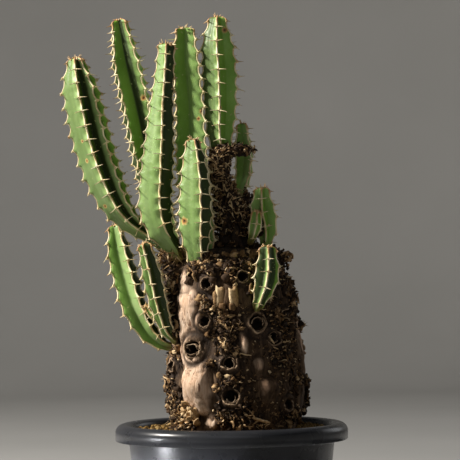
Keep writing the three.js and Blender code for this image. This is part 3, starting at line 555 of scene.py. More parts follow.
# Flakes, chips and fibres, from dark brown to straw
FLAKES = toned_material(
    "flakes", [(0.0, (0.014, 0.008, 0.004)), (0.3, (0.06, 0.032, 0.014)), (0.55, (0.22, 0.125, 0.052)),
               (0.8, (0.5, 0.33, 0.165)), (1.0, (0.78, 0.6, 0.36))],
    (700, 0.6, (0.55, 0.5, 0.45)), 0.8, (1300, 3, 0.6, 0.4, 0.0004), 0.25)
# Grey-brown dried rings of fallen stems
DRY = toned_material(
    "dry_rings", [(0.0, (0.008, 0.005, 0.004)), (0.2, (0.05, 0.031, 0.019)), (0.5, (0.2, 0.133, 0.08)),
                  (0.8, (0.44, 0.31, 0.2)), (1.0, (0.62, 0.48, 0.33))],
    (650, 0.65, (0.45, 0.42, 0.4)), 0.85, (1100, 4, 0.6, (1, 1, 0.4), 0.5, 0.0005), 0.2)
PLASTIC = pot_material()
# Yellow-brown grit
GRIT = toned_material(
    "grit", [(0.0, (0.05, 0.027, 0.01)), (0.4, (0.15, 0.09, 0.026)), (0.75, (0.3, 0.19, 0.062)),
             (1.0, (0.5, 0.38, 0.2))],
    (900, 0.65, (0.5, 0.45, 0.4)), 0.95, (2200, 3, 0.6, 0.5, 0.0003), 0.15)


# Pot and soil

def make_pot():
    """Pot turned from its outline, with a rolled rim and drain holes cut in its floor."""
    p = POT
    top, under = p["top"], p["top"] - p["rim_height"]
    across, down = p["roll"]
    outline = [
        (0, 0), (p["pad"] - 0.3, 0), (p["pad"], 0.3), (p["pad"] + p["slope"], p["foot"]),
        (p["foot_in"] - p["slope"], p["foot"]), (p["foot_in"] - 0.2, 0.4), (p["foot_in"] + 0.3, 0),
        (p["wall_bottom"] - 0.8, 0), (p["wall_bottom"] - 0.2, 0.25), (p["wall_bottom"] + 0.1, 0.9)]
    outline += [(p["wall_bottom"] + share * (p["wall_top"] - p["wall_bottom"]), share * (under - 1))
                for share in np.linspace(0.05, 1, 20)]
    outline += [
        (p["wall_top"], top - p["web_top"]), (p["rim"] - p["lip"], top - p["web_bottom"]),
        (p["rim"] - p["lip"], under + 0.3), (p["rim"] - p["lip"] + 0.4, under), (p["rim"] - 0.4, under),
        (p["rim"], under + 0.4), (p["rim"], top - down)]
    outline += [(p["rim"] - across + across * math.cos(a), top - down + down * math.sin(a))
                for a in np.linspace(0.12, math.pi / 2, 12)]
    outline += [(68, top - 0.2), (p["inner_top"] + 1.3, top - 0.9), (p["inner_top"] + 0.3, top - 2.2)]
    outline += [(p["inner_top"] + share * (p["floor_radius"] - p["inner_top"]),
                 top - p["inner_drop"] + share * (p["floor"] - top + p["inner_drop"]))
                for share in np.linspace(0, 1, 12)]
    outline = np.array(outline[1:])
    angles = np.linspace(0, 2 * np.pi, p["sides"], endpoint=False)
    build = Build()
    points, faces = capped(around(angles, outline[:, :1], outline[:, 1:]), (0, 0, 0), (0, 0, p["floor"]))
    build.add(points, faces)
    pot = build.piece("pot_body", PLASTIC, "pot_plastic", "pot")
    cutter = bpy.data.meshes.new("drain_cutter")
    points, faces = [], []
    for angle in 2 * np.pi * np.arange(DRAINS["count"]) / DRAINS["count"]:
        centre = DRAINS["circle"] * np.array([math.cos(angle), math.sin(angle), 0])
        hole, parts = tube([centre - (0, 0, 3), centre + (0, 0, 9)], DRAINS["radius"], DRAINS["sides"])
        faces += [(np.array(face) + len(points)).tolist() for part in parts for face in part]
        points += (hole * MM).tolist()
    cutter.from_pydata(points, [], faces)
    tool = new_object("drain_cutter", cutter)
    cut = pot.modifiers.new("drains", "BOOLEAN")
    cut.operation, cut.object, cut.solver = "DIFFERENCE", tool, "EXACT"
    bpy.context.view_layer.objects.active = pot
    bpy.ops.object.modifier_apply(modifier=cut.name)
    bpy.data.objects.remove(tool)
    bpy.data.meshes.remove(cutter)
    pot.data.shade_smooth()


@functools.cache
def lump_shape(fineness=2):
    """Points and faces of a small ball."""
    ball = bmesh.new()
    bmesh.ops.create_icosphere(ball, subdivisions=fineness, radius=1)
    points = np.array([vertex.co[:] for vertex in ball.verts])
    faces = np.array([[vertex.index for vertex in face.verts] for face in ball.faces])
    ball.free()
    return points, faces


def turned(random):
    """Matrix of a random turn."""
    return np.array(Euler(random.uniform(0, 2 * np.pi, 3)).to_matrix())


def make_soil():
    """Block of soil with grains on top."""
    random = np.random.default_rng(SEEDS["soil"])
    build = Build("tone")
    angles = np.linspace(0, 2 * np.pi, 96, endpoint=False)
    rows = []
    for radius, z in ((49, 5.6), (62.6, 124), (63.2, 126.6), (58, 127), (50, 127.2), (44, 127), (36, 126.6)):
        lift = 0.6 * np.sin(37.7 * angles + radius) if z > 126 else 0 * angles
        rows.append(around(angles, radius, z + lift))
    points, parts = capped(rows, (0, 0, 5.6), (0, 0, 126))
    build.add(points, parts, tone=0.15)
    count = SOIL["grains"]
    angle = random.uniform(0, 2 * np.pi, count)
    radius = np.sqrt(random.uniform(SOIL["inner"] ** 2, SOIL["outer"] ** 2, count)) - 1
    sizes = SOIL["size"] * random.uniform(0.5, 1.15, count)
    places = around(angle, radius, SOIL["level"] + random.uniform(-1.2, 0.8, count) - 0.3 * sizes)
    tones = random.beta(2.2, 2, count)
    fine = np.arange(count) < count // 3
    add_crumbs(build, random, places[fine], sizes[fine], tones[fine], True)
    add_crumbs(build, random, places[~fine], sizes[~fine], tones[~fine])
    build.piece("soil_grit", GRIT, "soil", "soil")


# Stems

class Axis:
    """Centre line of a stem, read by the distance from its foot."""

    def __init__(self, path, twist=0.0):
        self.twist = twist
        path = np.array(path, float)
        points, radii = path[:, :3], path[:, 3]
        ends = np.vstack([2 * points[0] - points[1], points, 2 * points[-1] - points[-2]])
        places, share = [], np.linspace(0, 1, 40, endpoint=False)
        for i in range(len(points) - 1):
            places.append(self.segment(*ends[i:i + 4], share))
        places = np.vstack([*places, points[-1:]])
        spots = np.append(np.arange(len(points) - 1)[:, None] + share, len(points) - 1)
        self.run = np.append(0, np.cumsum(np.linalg.norm(np.diff(places, axis=0), axis=1)))
        self.length = self.run[-1]
        self.places = places
        smooth = np.interp(spots, np.arange(len(points)), radii)
        for _ in range(60):
            smooth[1:-1] = (smooth[:-2] + 2 * smooth[1:-1] + smooth[2:]) / 4
        self.radii = smooth

    @staticmethod
    def segment(before, start, end, after, share):
        gaps = [max(np.sum((b - a) ** 2) ** 0.25, 1e-4) for a, b in ((before, start), (start, end), (end, after))]
        slope_a = ((start - before) / gaps[0] - (end - before) / (gaps[0] + gaps[1])
                   + (end - start) / gaps[1]) * gaps[1]
        slope_b = ((end - start) / gaps[1] - (after - start) / (gaps[1] + gaps[2])
                   + (after - end) / gaps[2]) * gaps[1]
        s = share[:, None]
        return (start + slope_a * s + (-3 * start + 3 * end - 2 * slope_a - slope_b) * s ** 2
                + (2 * start - 2 * end + slope_a + slope_b) * s ** 3)

    def at(self, distances):
        """Centre, direction, front, side, radius and turn at each distance, rounded off past the end."""
        d = np.asarray(distances, float)
        inside = np.minimum(d, self.length)
        over = d - inside
        back = np.maximum(np.minimum(inside, self.length - 0.5) - 1, 0)
        centre, ahead, behind = (
            np.stack([np.interp(run, self.run, self.places[:, k]) for k in range(3)], 1)
            for run in (inside, np.minimum(inside + 1, self.length), back))
        along = unit(ahead - behind)
        front = unit(np.array([0, -1, 0]) + along * along[:, 1:2])
        side = np.cross(along, front)
        radius = np.interp(inside, self.run, self.radii)
        radius = radius * np.sqrt(np.clip(1 - (over / STEM["dome"]) ** 2, 0, 1))
        turn = self.twist * (inside / self.length - 0.5)
        return centre + along * over[:, None], along, front, side, radius, turn


def placed(section, degrees, radius, aside=0.0, lift=0.0):
    """Point of each cross-section at a direction, a radius and shifts to the side and along."""
    centre, along, front, side, _, turn = section
    angle = np.radians(degrees + turn)[:, None]
    c, s = np.cos(angle), np.sin(angle)
    radius, aside, lift = (np.asarray(value, float).reshape(-1, 1) for value in (radius, aside, lift))
    return centre + front * (radius * c - aside * s) + side * (radius * s + aside * c) + along * lift


def teeth_of(axis, rib, random):
    """Distances of a rib's teeth, counted from the top."""
    start = axis.length - 0.6 - (rib % 2) * STEM["pitch"] / 2
    places = np.arange(start, 0, -STEM["pitch"])
    return np.sort(places + random.uniform(-STEM["jitter"], STEM["jitter"], len(places)))


def scallop(distances, teeth):
    """How far the crest stands back between its teeth, from 0 to 1."""
    edges = np.concatenate([[teeth[0] - STEM["pitch"]], teeth, [teeth[-1] + STEM["pitch"]]])
    index = np.clip(np.searchsorted(edges, distances, side="right") - 1, 0, len(edges) - 2)
    share = (distances - edges[index]) / (edges[index + 1] - edges[index])
    bow = np.where(share < 0.5, 1 - np.abs(1 - 2 * share) ** 1.3, 1 - 0.45 * np.abs(2 * share - 1) ** 2)
    return bow * np.clip((1 - share) / 0.07, 0, 1)


def scallop_depth(radius):
    return np.minimum(STEM["scallop"], STEM["scallop_share"] * radius)


def crest_of(radius, distances, teeth, length):
    """Reach of a rib's crest at each distance."""
    return radius - scallop_depth(radius) * scallop(distances, teeth) * np.clip((length + 1 - distances) / 4, 0, 1)


def valley_share(radius, groove):
    """How far out a groove's floor lies: thin ends are rounder."""
    return np.interp(radius, [3.5, 8], [0.68, groove])


def youth(distances, length):
    """How fresh and brown the horn is: only near the top."""
    return np.clip((distances - length + STEM["young_top"]) / 6, 0, 0.85)


def sunlit(start, end):
    """Share of painted light on a flank between two points of a cross-section, in rising degrees, by how the flank
    faces the key light.
    """
    across = end - start
    return float(np.clip(0.25 + 1.1 * np.cos(np.arctan2(-across[1], across[0]) - math.radians(KEY_LIGHT_FROM)), 0, 1))


def round_point(degrees, radius):
    return radius * np.array([math.sin(math.radians(degrees)), math.cos(math.radians(degrees))])


def flank_shade_paint(groove, dims, steps):
    """Painted shade on each column from one crest to the next: more in narrow grooves, and on flanks that lie in
    shadow.
    """
    near_dim, far_dim = dims
    sunk = 0.4 * np.clip((0.62 - groove) / 0.3, 0, 1)
    # Unless the far flank is wholly in shadow, its outer strip by the next crest is left lit
    lit_strip = np.clip((steps[::-1] - 0.3) / 0.2, 0, 1) if far_dim < 0.92 else 1
    dim = np.concatenate([[near_dim] * (len(steps) + 1), [max(near_dim, far_dim)],
                          far_dim * lit_strip + 0 * steps])
    return np.clip(sunk * np.array([0.0, *steps, 1.0, *steps[::-1]]) + dim, 0, 1).tolist()


def wounds_on(name, points, foot, length, beside_crest, random):
    """Distance from the nearest wound in wound sizes, with a few small random ones beside the crests."""
    wound = np.full(len(points), 3.0)
    for owner, x, z, size in WOUNDS:
        if owner == name:
            gap = np.hypot(points[:, 0] - x, points[:, 2] - z)
            near = np.where(gap < 3.0)[0]
            spot = points[near[np.argmin(points[near, 1] + 0.6 * gap[near])]]
            wound = np.minimum(wound, np.linalg.norm(points - spot, axis=1) / (size * 1.5))
    beside = np.where(beside_crest & (points[:, 2] > foot + min(12, 0.3 * length)))[0]
    for index in random.choice(beside, int(length / 13)):
        size = random.uniform(0.35, 1.0)
        wound = np.minimum(wound, 0.3 + np.linalg.norm(points - points[index], axis=1) / (size * 1.5))
    return wound


def make_stem(name, ribs, path, grooves=(), twist=0.0, horn=STEM["horn_start"], flank_shade=(), nodes=()):
    """Flesh of one stem, painted as the photo shows it, with painted light and painted shade on its faces, then its
    horny margin.
    """
    seed = sum(map(ord, name))
    random = np.random.default_rng(seed)
    axis = Axis(path, twist)
    grooves = grooves or [STEM["groove"]] * len(ribs)
    teeth = [teeth_of(axis, rib, random) for rib in range(len(ribs))]
    dome = axis.length + STEM["dome"] * np.sin(np.linspace(0, math.pi / 2, 7))[:-1]
    distances = np.concatenate([np.arange(0, axis.length - 0.2, STEM["step"]), dome])
    section = axis.at(distances)
    radius = section[4]
    crests = [crest_of(radius, distances, teeth[rib], axis.length) for rib in range(len(ribs))]
    steps = np.linspace(0, 1, STEM["flank"] + 1)[:-1] ** 0.9
    columns, edges, flank_shades, suns = [], [], [], []
    for rib, degrees in enumerate(ribs):
        beyond = ribs[rib + 1] if rib + 1 < len(ribs) else ribs[0] + 360
        middle = (degrees + beyond) / 2
        valley = placed(section, middle, radius * valley_share(radius, grooves[rib]))
        swell = [np.exp(-((distances[:, None] - teeth[r][None, :]) / 1.9) ** 2).sum(1)
                 for r in (rib, (rib + 1) % len(ribs))]
        flanks = []
        for which, turn in ((0, degrees), (1, beyond)):
            crest = crests[(rib + which) % len(ribs)]
            half = np.minimum(STEM["crest"], 0.12 * radius) * (1 if which == 0 else -1)
            even = placed(section, turn, radius - 0.4 * scallop_depth(radius), half)
            wave = placed(section, turn, crest, half) - even
            out = unit(np.cross(section[1], even - valley)) * (-1 if which == 0 else 1)
            length = np.linalg.norm(even - valley, axis=1, keepdims=True)
            side = []
            for u in steps:
                bow = (-0.05 * math.sin(math.pi * u) * length
                       + 0.14 * swell[which][:, None] * (1 - u) ** 2 * math.sin(math.pi * min(u * 2.2, 1)))
                side.append(even + (valley - even) * u + wave * max(0, 1 - u / 0.6) ** 1.5 + out * bow)
            flanks.append(side)
        columns += [placed(section, degrees, crests[rib] + 0.15)] + flanks[0] + [valley] + flanks[1][::-1]
        edges += [0.0] + steps.tolist() + [1.0] + steps[::-1].tolist()
        # Painted shade on each flank
        flank_shades += flank_shade_paint(grooves[rib], flank_shade[rib] if rib < len(flank_shade) else (0, 0), steps)
        # Share of painted light on each flank by how it faces the key light
        low = round_point(middle, grooves[rib])
        left, right = sunlit(round_point(degrees, 1), low), sunlit(low, round_point(beyond, 1))
        suns += [left] * (STEM["flank"] + 1) + [(left + right) / 2] + [right] * STEM["flank"]
    rings = np.stack(columns, 1)
    slanted = rings.reshape(-1, 3) @ np.array([[1, 0, 0.45], [0, 1, 0.3], [0, 0, 1]])
    ripple = 0.11 * cloud(slanted, (5, 5, 0.95), 2, seed).reshape(rings.shape[:2])
    outwards = unit(rings - section[0][:, None])
    rings = rings + outwards * ripple[..., None]
    top = section[0][-1] + section[1][-1] * 0.2
    points, faces = capped(rings, section[0][0], top)
    spread = np.append(np.tile(edges, len(distances)), [1, 1])
    wound = wounds_on(name, points, path[0][2], axis.length, spread < 0.25, random)
    from_foot = np.append(np.repeat(distances, rings.shape[1]), [0, axis.length])
    foot = np.clip(1.15 - from_foot / 9, 0, 1)
    deep, sun = (np.append(np.tile(shares, len(distances)), [0, 0]) for shares in (flank_shades, suns))
    build = Build("edge", "deep", "sun", "wound", "foot")
    build.add(points, faces, edge=spread, deep=deep, sun=sun, wound=wound, foot=foot)
    build.piece("flesh_" + name, FLESH, "stem_green", *nodes[:1])
    make_horn(name, ribs, axis, teeth, horn, random, nodes[1:])


def make_horn(name, ribs, axis, teeth, start, random, nodes):
    """Horny margin of one stem with its spines."""
    build = Build("tip", "young")
    sides = HORN["margin_sides"]
    angles = np.linspace(0, 2 * np.pi, sides, endpoint=False)
    for rib, degrees in enumerate(ribs):
        dome = axis.length + STEM["dome"] * np.sin(np.linspace(0.1, 1.35, 6))
        distances = np.concatenate([np.arange(start, axis.length, STEM["step"]), dome])
        section = axis.at(distances)
        crest = crest_of(section[4], distances, teeth[rib], axis.length)
        near = np.exp(-((distances[:, None] - teeth[rib][None, :]) / 1.1) ** 2).sum(1)
        fade = np.clip((distances - start + 1.5) / 6, 0.25, 1)
        width = HORN["half_width"] * (1 + 0.35 * near) * fade
        height = HORN["half_height"] * (1 + 0.3 * near) * fade
        wander = 0.14 * noise(np.stack([distances / 3, 0 * distances, 0 * distances + rib], 1), 9)
        rings = np.stack([placed(section, degrees, crest + 0.12 + height * math.sin(a),
                                 wander + width * math.cos(a)) for a in angles[::-1]], 1)
        points, faces = capped(rings)
        young = np.repeat(youth(distances, axis.length), sides)
        build.add(points, faces, young=np.append(young, [0, 0.85]))
        add_spines(build, degrees, axis, teeth[rib], start, random)
    add_tuft(build, axis, random)
    build.piece("horn_" + name, HORNY, "horn", *nodes)


def add_tuft(build, axis, random):
    """Dry scales and young spines on the very top of a stem."""
    balls, ball_faces = lump_shape()
    centre, along, front, side, _, _ = (value[0] for value in axis.at([axis.length]))
    wide = max(axis.radii[-1], 1.8)
    for _ in range(HORN["tuft"]):
        angle = random.uniform(0, 2 * np.pi)
        out = front * math.cos(angle) + side * math.sin(angle)
        reach = wide * random.uniform(0.1, 0.85)
        root = centre + out * reach + along * (STEM["dome"] * (1 - (reach / wide) ** 2) + 0.1)
        if random.random() < 0.45:
            heading = unit(out * random.uniform(0.2, 1.2) + along * random.uniform(0.3, 1.2))
            add_strand(build, root, heading * random.uniform(1.5, 3.4), 0, [0.42, 0.36, 0.24, 0.08],
                       young=random.uniform(0.3, 0.9), tip=0.4)
        else:
            scale = random.uniform(0.5, 1.1, 3) * (1, 1, 0.7)
            build.add(balls * scale @ turned(random).T + root, [ball_faces], young=random.uniform(0.4, 1.0))


def add_spines(build, degrees, axis, teeth, start, random):
    """A pad with a pair of spines at each tooth of a rib."""
    balls, ball_faces = lump_shape()
    for tooth in teeth:
        if tooth < start + 1:
            continue
        section = axis.at([tooth])
        radius = section[4][0]
        young = float(youth(tooth, axis.length))
        centre = placed(section, degrees, radius + 0.35)[0]
        out = placed(section, degrees, radius + 1.35)[0] - centre
        aside = placed(section, degrees, radius + 0.35, 1.0)[0] - centre
        along = section[1][0]
        scale = np.array(HORN["pad"]) * random.uniform(0.85, 1.15) * min(1, 0.5 + radius / 14)
        pad = (balls[:, :1] * aside * scale[0] + balls[:, 1:2] * out * scale[1]
               + balls[:, 2:] * along * scale[2]) + centre
        build.add(pad, [ball_faces], young=max(young, 0.35 * random.random()))
        for hand in (-1, 1):
            spread = HORN["spread"] + random.uniform(-0.22, 0.22)
            whole = random.uniform(0.7, 1.1) if random.random() < 0.86 else 0.35
            length = HORN["spine"] * whole * min(1, 0.45 + radius / 16)
            tilt = random.uniform(-0.28, 0.12)
            heading = unit(out * math.cos(spread) + aside * hand * math.sin(spread) + along * tilt)
            bend = along * random.uniform(-0.35, 0.25) + out * random.uniform(-0.1, 0.25)
            share = np.linspace(0, 1, 5)
            girth = HORN["tip"] + (HORN["root"] - HORN["tip"]) * (1 - share) ** 0.8
            tip = np.append(np.repeat(share, HORN["sides"]), [0, 1]) * random.uniform(0.7, 1.15)
            add_strand(build, centre + aside * hand * 0.4 + out * 0.2, heading * length, bend, girth,
                       HORN["sides"], tip=tip, young=young)


# Woody base

def relief(angle, height, seed):
    """Slow waves and lumps as in the solids, from about -1 to 1."""
    slow = np.sin(3 * angle + 0.05 * height + seed) + np.sin(5 * angle - 0.09 * height)
    quick = np.sin(11 * angle + 0.21 * height + 2 * seed) * np.sin(0.31 * height + seed)
    return (slow + 1.4 * quick) / 3.4


def turn_from(direction, degrees):
    """Shortest turn from a direction, from -180 to 180 degrees."""
    return (degrees - direction + 540) % 360 - 180


def patches(degrees, heights, marks, power):
    """The soft-edged share of each mark at each direction and height."""
    for direction, height, across, up, strength in marks:
        gap = np.hypot(np.radians(turn_from(direction, degrees)) * GIRTH / across, (heights - height) / up)
        yield strength * np.exp(-power * gap ** 2)


def spots(degrees, heights, marks, power=1.1):
    """The largest share of any mark at each direction and height."""
    return functools.reduce(np.maximum, patches(degrees, heights, marks, power), np.zeros(np.shape(degrees)))


def clear(degrees, heights):
    """Whether each place is clear of the hollows and the bare bark."""
    return spots(degrees, heights, BARE, 1.0) < math.exp(-1)


def body_skin(degrees, heights):
    """Centre x and radius of the woody base as in the solids."""
    centre, radius = rows_at(BODY_RINGS, heights)
    calm = np.clip((heights - 129) / 4, 0, 1)
    rise = 1.4 * relief(np.radians(degrees), heights, 1)
    for direction, height, reach, lift in BULGES:
        gap = np.hypot(np.radians(turn_from(direction, degrees)) * radius, heights - height) / reach
        rise = rise + lift * np.exp(-1.6 * gap ** 2)
    return centre, radius + calm * rise


def forms(degrees, heights):
    """Rise of the swellings and furrows at each direction and height."""
    return sum(patches(degrees, heights, FORMS, 1.3), np.zeros(np.shape(degrees)))


def bark_detail(degrees, heights, base):
    """Height of the bark's own relief, with how pale and how crusted it is, and how much shade is painted in its
    cracks and gaps.
    """
    pale = spots(degrees, heights, PALE_AND_LIT)
    pale = np.clip(3.4 * pale + 0.35 * cloud(base, 5, 3, 4) - 1.0, 0, 1)
    crust = spots(degrees, heights, [[d, h, 1.35 * reach, 1.35 * reach, 1] for d, h, reach, _, _ in CRUST])
    crust = np.clip(2.6 * crust + 0.6 * cloud(base, 7, 3, 14) - 1.0, 0, 1) * (1 - pale)
    sway = np.stack([1.6 * cloud(base, 9, 2, 7), 1.6 * cloud(base, 9, 2, 9), 0 * heights], 1)
    folds = (1.5 - 0.7 * pale) * cloud(base + sway, (6, 6, 13), 2, 21)
    fibres = 0.3 * cloud(base + sway, (1.2, 1.2, 5.5), 2, 23)
    crack = creases(base + sway, (3.2, 3.2, 10), 12) ** 3 * np.clip(1.6 * cloud(base, 12, 2, 33) + 0.7, 0, 1)
    plates = np.abs(cloud(base + sway, (4.2, 4.2, 7), 3, 31))
    shell = 3.2 * plates + 0.9 * cloud(base, (1.7, 1.7, 2.6), 2, 41) - 1.2
    height = ((1 - crust) * (folds + fibres - (2.0 - 1.2 * pale) * crack) + crust * shell
              + 0.5 * pale + forms(degrees, heights))
    # Painted shade in the cracks and in the gaps between crust plates
    gaps = np.clip(0.8 - 1.3 * plates, 0, 1)
    hollow = np.clip((1 - crust) * (0.85 - 0.35 * pale) * crack + crust * gaps, 0, 1)
    return height, pale, crust, hollow


def base_craters(degrees, heights, radius):
    """Raised rims and sunken bores where stems have fallen, and how far each place is sunken, which also sets the
    painted shade in the bores and round the outer foot of each rim.
    """
    lift = np.zeros(len(degrees))
    deep = np.zeros(len(degrees))
    for direction, height, size, reach in STUMPS:
        gap = np.hypot(np.radians(turn_from(direction, degrees)) * radius, heights - height) / size
        lift += 0.4 * reach * np.exp(-((gap - 1.1) / 0.4) ** 2)
        bore = np.clip((0.8 - gap) / 0.18, 0, 1)
        lift -= 5.5 * bore
        # The bore and a ring round the outer foot of the raised rim get painted shade
        deep = np.maximum(deep, np.maximum(bore, 0.75 * np.exp(-((gap - 1.55) / 0.3) ** 2)))
    return lift, deep


def make_base():
    """Bark of the woody base, with a domed lid on top."""
    columns, rows = BASE_GRID
    low, high = BODY_RINGS[0, 0] - 4, BODY_RINGS[-1, 0] + 1.5
    heights = np.repeat(np.linspace(low, high, rows), columns)
    degrees = np.tile(np.arange(columns) * 360 / columns, rows)
    centre, radius = body_skin(degrees, np.clip(heights, BODY_RINGS[0, 0], BODY_RINGS[-1, 0]))
    angle = np.radians(degrees)
    base = around(angle, GIRTH, heights)
    detail, pale, crust, hollow = bark_detail(degrees, heights, base)
    lift, deep = base_craters(degrees, heights, radius)
    reach = radius - 0.4 + detail * np.clip(1 - deep, 0.15, 1) + lift
    rings = around(angle, reach, heights, centre).reshape(rows, columns, 3)
    middle = np.array([BODY_RINGS[-1, 1], 0, 0])
    lid = []
    for share, rise in ((0.95, 1.0), (0.88, 1.8), (0.78, 2.4), (0.66, 2.8), (0.52, 3.1), (0.36, 3.3),
                        (0.18, 3.4)):
        ring = middle + (rings[-1] - middle) * [share, share, 1] + [0, 0, rise]
        ring[:, 2] += 0.9 * cloud(ring, 4, 3, 44)
        lid.append(ring)
    rings = np.concatenate([rings, np.stack(lid)])
    points, faces = capped(rings, (2.5, 0, low), middle + [0, 0, high + 3.4])
    tail = np.zeros(len(lid) * columns + 2)
    build = Build("pale", "crust", "cavity")
    # Painted shade in cracks, gaps and bores, and a little over the whole lid
    build.add(points, faces, pale=np.append(pale * (1 - deep), tail), crust=np.append(crust, tail + 1),
              cavity=np.append(np.clip(np.maximum(hollow, deep), 0, 1), tail + 0.3))
    build.piece("bark_base", BARK, "bark", "caudex")


def add_bark(build, rings, pale, cavity):
    """Crusted bark over rings, with how pale it is and how much shade is painted on it at each of their points."""
    points, faces = capped(rings)
    build.add(points, faces, pale=np.append(pale, [0, 0]), crust=1.0,
              cavity=np.append(np.clip(cavity, 0, 1), [0, 0]))


def make_trunk():
    """The old dried main stem."""
    columns, rows = TRUNK_GRID
    heights = np.repeat(np.linspace(TRUNK_RINGS[0, 0], TRUNK_RINGS[-1, 0], rows), columns)
    angle = np.tile(np.arange(columns) * 2 * np.pi / columns, rows)
    centre, radius = rows_at(TRUNK_RINGS, heights)
    base = around(angle, 12, heights)
    shag = 2.2 * cloud(base, (4, 4, 9), 2, 3) + 1.5 * cloud(base, (1.8, 1.8, 3.2), 2, 5)
    crack = creases(base + 1.5 * cloud(base, 6, 2, 6)[:, None], (2.8, 2.8, 8), 2)
    reach = np.maximum(radius + shag - 2.6 * crack, 1.5)
    rings = around(angle, reach, heights, centre, TRUNK_DEPTH).reshape(rows, columns, 3)
    build = Build("pale", "crust", "cavity")
    # Painted shade in the cracks and a little over the whole old stem
    add_bark(build, rings, 0.12 * np.clip(shag, 0, 1), 1.2 * crack + 0.25)
    build.piece("bark_trunk", BARK, "bark", "caudex")


def make_crowns():
    """Rough lumps from which the stems grow."""
    build = Build("pale", "crust", "cavity")
    columns, rows = CROWN_GRID
    polar = np.linspace(0.06, np.pi - 0.06, rows)
    angle = np.arange(columns) * 2 * np.pi / columns
    for order, (centre, half) in enumerate(CROWNS):
        ball = around(angle, np.sin(polar)[:, None], -np.cos(polar)[:, None]).reshape(-1, 3)
        base = ball * half + centre
        rough = 2.2 * cloud(base, 7, 2, 50 + order) + 2.4 * np.abs(cloud(base, 3.2, 3, 60 + order))
        crack = creases(base, (4, 4, 6), 70 + order)
        shape = base + ball * (rough - 2.6 * crack - 1.4)[:, None] * min(1, min(half) / 9)
        # Painted shade in the cracks and in the low places between lumps
        add_bark(build, shape.reshape(rows, columns, 3), 0.3 * np.clip(rough - 1, 0, 1),
                 1.2 * crack + np.clip(0.5 - rough, 0, 0.5))
    build.piece("bark_crowns", BARK, "bark", "caudex")


def surface(direction, height):
    """Points of the base's surface and their outward directions."""
    direction, height = np.atleast_1d(direction).astype(float), np.atleast_1d(height).astype(float)
    centre, radius = body_skin(direction, height)
    angle = np.radians(direction)
    return around(angle, radius, height, centre), around(angle, 1, 0)


def add_shell(build, random, foot, out, radius, tall, arc, bright, thick):
    """Ragged ring, or part of one, that stands on a surface and leans outwards."""
    whole = arc > 6.2
    sides = max(9, int(arc * 7))
    angles = np.linspace(0, arc, sides, endpoint=not whole) + random.uniform(0, 6.28)
    aside = unit(np.cross(out, (0.03, 0.02, 1)))
    up = np.cross(aside, out)
    circle = np.stack([np.cos(angles), np.sin(angles), 0 * angles], 1)
    seed = random.uniform(0, 90, 3)
    wave = 1 + 0.12 * noise(1.6 * circle + seed, 2) + 0.05 * noise(7 * circle + seed, 3)
    torn = tall * np.clip(0.85 + 0.5 * noise(1.7 * circle + seed, 6) + 0.45 * noise(9 * circle + seed, 7), 0.2, 1.6)
    taper = np.ones(sides) if whole else np.clip(3.2 * np.sin(np.pi * np.linspace(0.02, 0.98, sides)), 0.1, 1)
    oval = 1 + random.uniform(-0.12, 0.16)
    # The tone gives painted shade at the outer foot and down inside the bore, lightest at the torn edge
    profile = [  # shift of the radius, height, tone, from the outer foot over the edge to the inner foot
        (0.3 * radius + 0.2, -3.0, 0.1), (0.15 * radius, 0.1, 0.3), (0.06, 0.55, 0.6), (0.12, 0.9, 0.95),
        (-0.35 * thick, 1.0, 1.1), (-0.8 * thick, 0.93, 0.8), (-thick, 0.6, 0.25),
        (-1.1 * thick, -0.5, 0.04), (-1.2 * thick, -3.5, 0.0)]
    rings, tones = [], []
    for shift, lift, tone in profile:
        level = lift * torn * taper if lift > 0 else np.full(sides, lift)
        reach = (radius + shift) * wave * (1 + 0.04 * noise(11 * circle + seed + 5 * lift, 8))
        rings.append(foot + np.outer(reach * oval * np.cos(angles), aside) + np.outer(reach * np.sin(angles), up)
                     + np.outer(level, out))
        tones.append(tone * bright * (1 + 0.5 * noise(5 * circle + seed + lift, 9)))
    rows = len(profile)
    if whole:
        build.add(rings, [grid_faces(rows, sides)], tone=np.clip(np.concatenate(tones), 0, 1))
        return
    index = np.arange(rows * sides).reshape(rows, sides)
    quads = np.stack([index[:-1, :-1], index[:-1, 1:], index[1:, 1:], index[1:, :-1]], 2).reshape(-1, 4)
    build.add(rings, [quads, index[:, :1].T, index[::-1, -1:].T], tone=np.clip(np.concatenate(tones), 0, 1))


def make_stumps():
    """Ragged rings and curled inner layers round each hollow."""
    random = np.random.default_rng(SEEDS["stumps"])
    build = Build("tone")
    for direction, height, size, reach in STUMPS:
        foot, out = (value[0] for value in surface(direction, height))
        out = unit(out + np.array([0, 0, 0.25]))
        layers = [(1.0, 0.85, 0.62, 2 * np.pi), (0.78, 0.6, 0.5, random.uniform(3.2, 5.2))]
        layers += [(0.56, 0.75, 0.7, random.uniform(2.4, 4.4))] if size > 5 else []
        for order, (share, tall, bright, arc) in enumerate(layers):
            tilted = unit(out + random.normal(0, 0.12, 3))
            add_shell(build, random, foot, tilted, share * size, tall * reach, arc,
                      bright * random.uniform(0.75, 1.25), 0.16 * size * (1 if order == 0 else 0.4) + 0.15)
    build.piece("stump_rings", DRY, "bark", "caudex")


def turns(random, count):
    """Matrices of random turns."""
    q = unit(random.normal(0, 1, (count, 4)))
    w, x, y, z = q.T
    return np.stack([
        1 - 2 * (y * y + z * z), 2 * (x * y - z * w), 2 * (x * z + y * w),
        2 * (x * y + z * w), 1 - 2 * (x * x + z * z), 2 * (y * z - x * w),
        2 * (x * z - y * w), 2 * (y * z + x * w), 1 - 2 * (x * x + y * y)], 1).reshape(-1, 3, 3)


